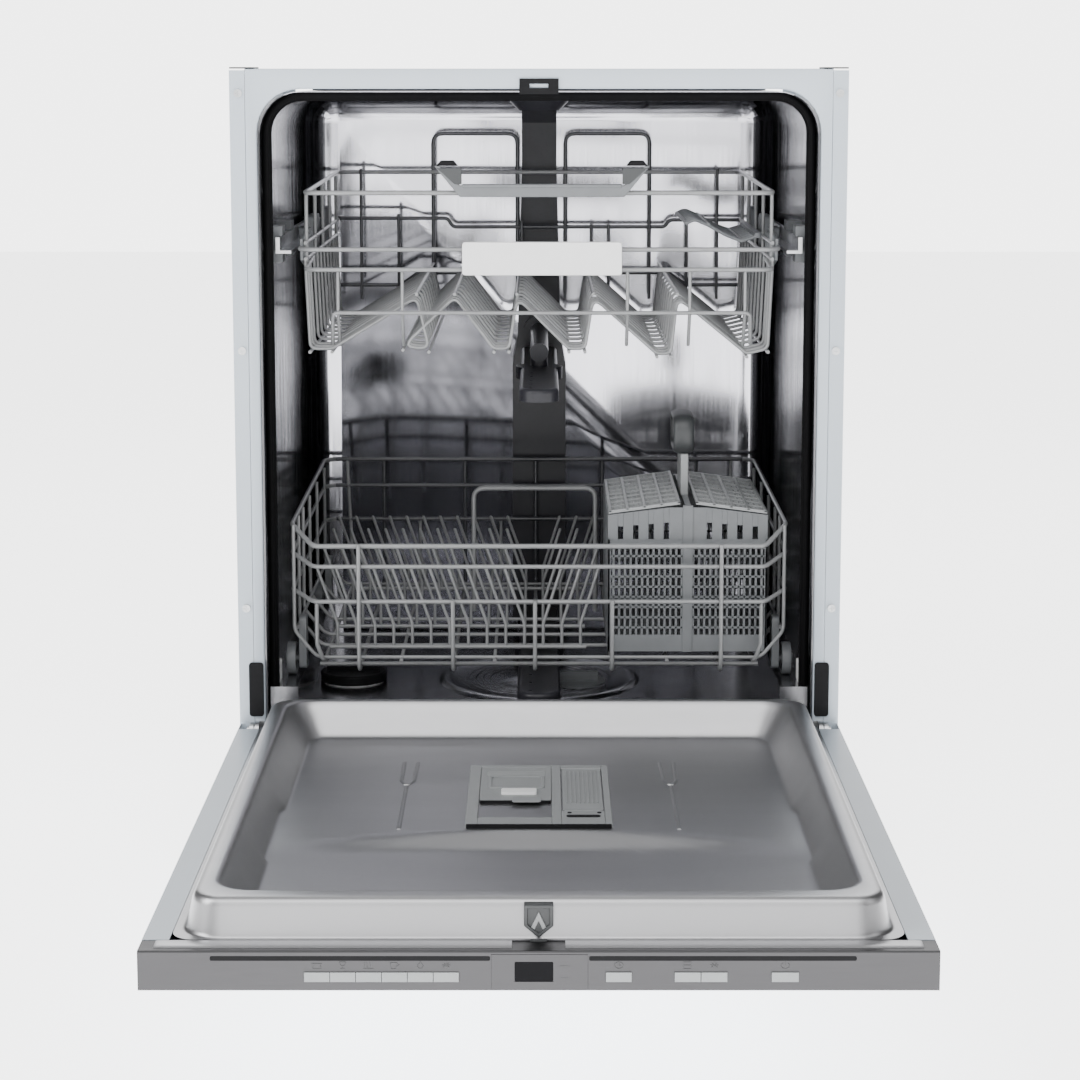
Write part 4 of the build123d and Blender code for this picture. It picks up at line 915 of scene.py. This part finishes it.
def dress_nodes():
    """The CAD nodes that no piece replaces keep their shape. Each gets its look and its own bevel."""
    bevels = {"side_panels": 0.25, "frame_screws": 0.3, "worktop_brackets": 0.3, "hinge_brackets": 0.5,
              "base_tray": 1.2, "plinth_plate": 0.3, "tub_floor": 0.5, "softener": 2.0, "rear_connections": 0.6,
              "spray_duct": 1.2, "rail_guides": 0.8, "levelling_feet": 0.5, "filter_cylinder": 0.8,
              "salt_cap": 0.8, "door_fascia": 0.6, "display_panel": 0.35, "door_outer_panel": 0.3,
              "hinge_arms": 0.5, "upper_spray_arm": 0.8, "lower_spray_arm": 0.8, "upper_feed_pipe": 0.6,
              "sump": 0.8, "pumps": 1.5, "control_board": 0.2}
    special = {"sump": DARK, "tub_floor": FLOOR_STEEL}
    for part in frame["record"]["subparts"]:
        name = part["node"]
        if frame["nodes"][name].hide_render:
            continue
        look = special.get(name, LOOK[part["material_slot"]])
        bevel = KEY_BEVEL if name.startswith("key_") else bevels.get(name, PLAIN_BEVEL)
        dress(name, look, bevel)


# ---------------------------------------------------------------- light, floor and camera
FLOOR_GLOW = 3.3
# strength of the world ahead and behind, at the sides, as a share of that straight above, and as the backdrop
WORLD_BRIGHT, WORLD_DIM, WORLD_ABOVE, WORLD_SEEN = 2.0, 0.08, 0.30, 4.5
# where the fall-off starts and ends, sideways and upwards, on a sphere of radius 1
SIDE_FADE, TOP_FADE = (0.24, 0.50), (0.40, 0.80)


def make_world():
    """A white studio whose sides fall off to grey, so that polished steel has something to reflect."""
    world = bpy.data.worlds.new("studio")
    bpy.context.scene.world = world
    world.use_nodes = True
    tree = world.node_tree
    background = tree.nodes["Background"]
    coords = tree.nodes.new("ShaderNodeTexCoord")
    split = tree.nodes.new("ShaderNodeSeparateXYZ")
    tree.links.new(coords.outputs["Generated"], split.inputs["Vector"])
    size = tree.nodes.new("ShaderNodeMath")
    size.operation = "ABSOLUTE"
    tree.links.new(split.outputs["X"], size.inputs[0])
    def fade(source, reach, start, end):
        node = tree.nodes.new("ShaderNodeMapRange")
        node.interpolation_type = "SMOOTHSTEP"
        node.inputs["From Min"].default_value, node.inputs["From Max"].default_value = reach
        node.inputs["To Min"].default_value, node.inputs["To Max"].default_value = start, end
        tree.links.new(source, node.inputs["Value"])
        return node.outputs["Result"]
    sideways = fade(size.outputs[0], SIDE_FADE, WORLD_BRIGHT, WORLD_DIM)
    upwards = fade(split.outputs["Z"], TOP_FADE, 1.0, WORLD_ABOVE)
    light = tree.nodes.new("ShaderNodeMath")
    light.operation = "MULTIPLY"
    tree.links.new(sideways, light.inputs[0])
    tree.links.new(upwards, light.inputs[1])
    seen = tree.nodes.new("ShaderNodeLightPath")
    choose = tree.nodes.new("ShaderNodeMix")
    choose.inputs["B"].default_value = WORLD_SEEN
    tree.links.new(seen.outputs["Is Camera Ray"], choose.inputs["Factor"])
    tree.links.new(light.outputs[0], choose.inputs["A"])
    tree.links.new(choose.outputs["Result"], background.inputs["Strength"])
    background.inputs["Color"].default_value = (1, 1, 1, 1)


def area(name, place, target, size, power):
    light = bpy.data.lights.new(name, "AREA")
    light.shape = "RECTANGLE"
    light.size, light.size_y = size
    light.energy = power
    obj = bpy.data.objects.new(name, light)
    obj.location = place
    obj.rotation_euler = (Vector(target) - Vector(place)).to_track_quat("-Z", "Y").to_euler()
    bpy.context.scene.collection.objects.link(obj)


def make_stage():
    bm = bmesh.new()
    bmesh.ops.create_grid(bm, x_segments=2, y_segments=2, size=9)
    mesh = bpy.data.meshes.new("studio_floor")
    bm.to_mesh(mesh)
    bm.free()
    floor = bpy.data.objects.new("studio_floor", mesh)
    floor.location.z = -0.0005
    bpy.context.scene.collection.objects.link(floor)
    white = surface("studio_floor_white", (0.96, 0.96, 0.96), 0.8, 0, 0.01, 0.05, 3, 40, 0.02)
    glow = white.node_tree.nodes["Principled BSDF"]
    glow.inputs["Emission Color"].default_value = (1, 1, 1, 1)
    glow.inputs["Emission Strength"].default_value = FLOOR_GLOW
    mesh.materials.append(white)
    area("key_light", (0.0, -2.0, 2.6), (0, 0, 0.35), (3.0, 1.6), 42)
    area("left_light", (-2.4, -1.4, 1.8), (0, -0.1, 0.4), (1.2, 1.8), 52)
    area("right_light", (2.4, -1.4, 1.8), (0, -0.1, 0.4), (1.2, 1.8), 10)
    area("rear_light", (0.0, 2.2, 2.4), (0, 0, 0.5), (2.5, 1.2), 25)


# the camera in metres, from the frame's front face, with its tilt in degrees
CAMERA_X, CAMERA_BACK, CAMERA_HIGH = 0.001, 2.45, 0.812
CAMERA_TILT, CAMERA_LENS, CAMERA_SHIFT = 8.18, 83.9, -0.1


def make_camera():
    data = bpy.data.cameras.new("camera")
    camera = bpy.data.objects.new("camera", data)
    bpy.context.scene.collection.objects.link(camera)
    camera.location = (CAMERA_X, FRONT - CAMERA_BACK, CAMERA_HIGH)
    camera.rotation_euler = (radians(90 - CAMERA_TILT), 0, 0)
    data.sensor_width = 36
    data.lens = CAMERA_LENS
    data.shift_y = CAMERA_SHIFT
    bpy.context.scene.camera = camera


make_tub()
make_frame_face()
make_seal()
make_filter_dish()
make_hinge_covers()
make_mats()
make_liner()
make_latch()
make_dispenser()
make_icons()
make_display()
make_slots()
make_trim_strip()
make_lower_rack()
make_basket()
make_upper_rack()
dress_nodes()
make_world()
make_stage()
make_camera()
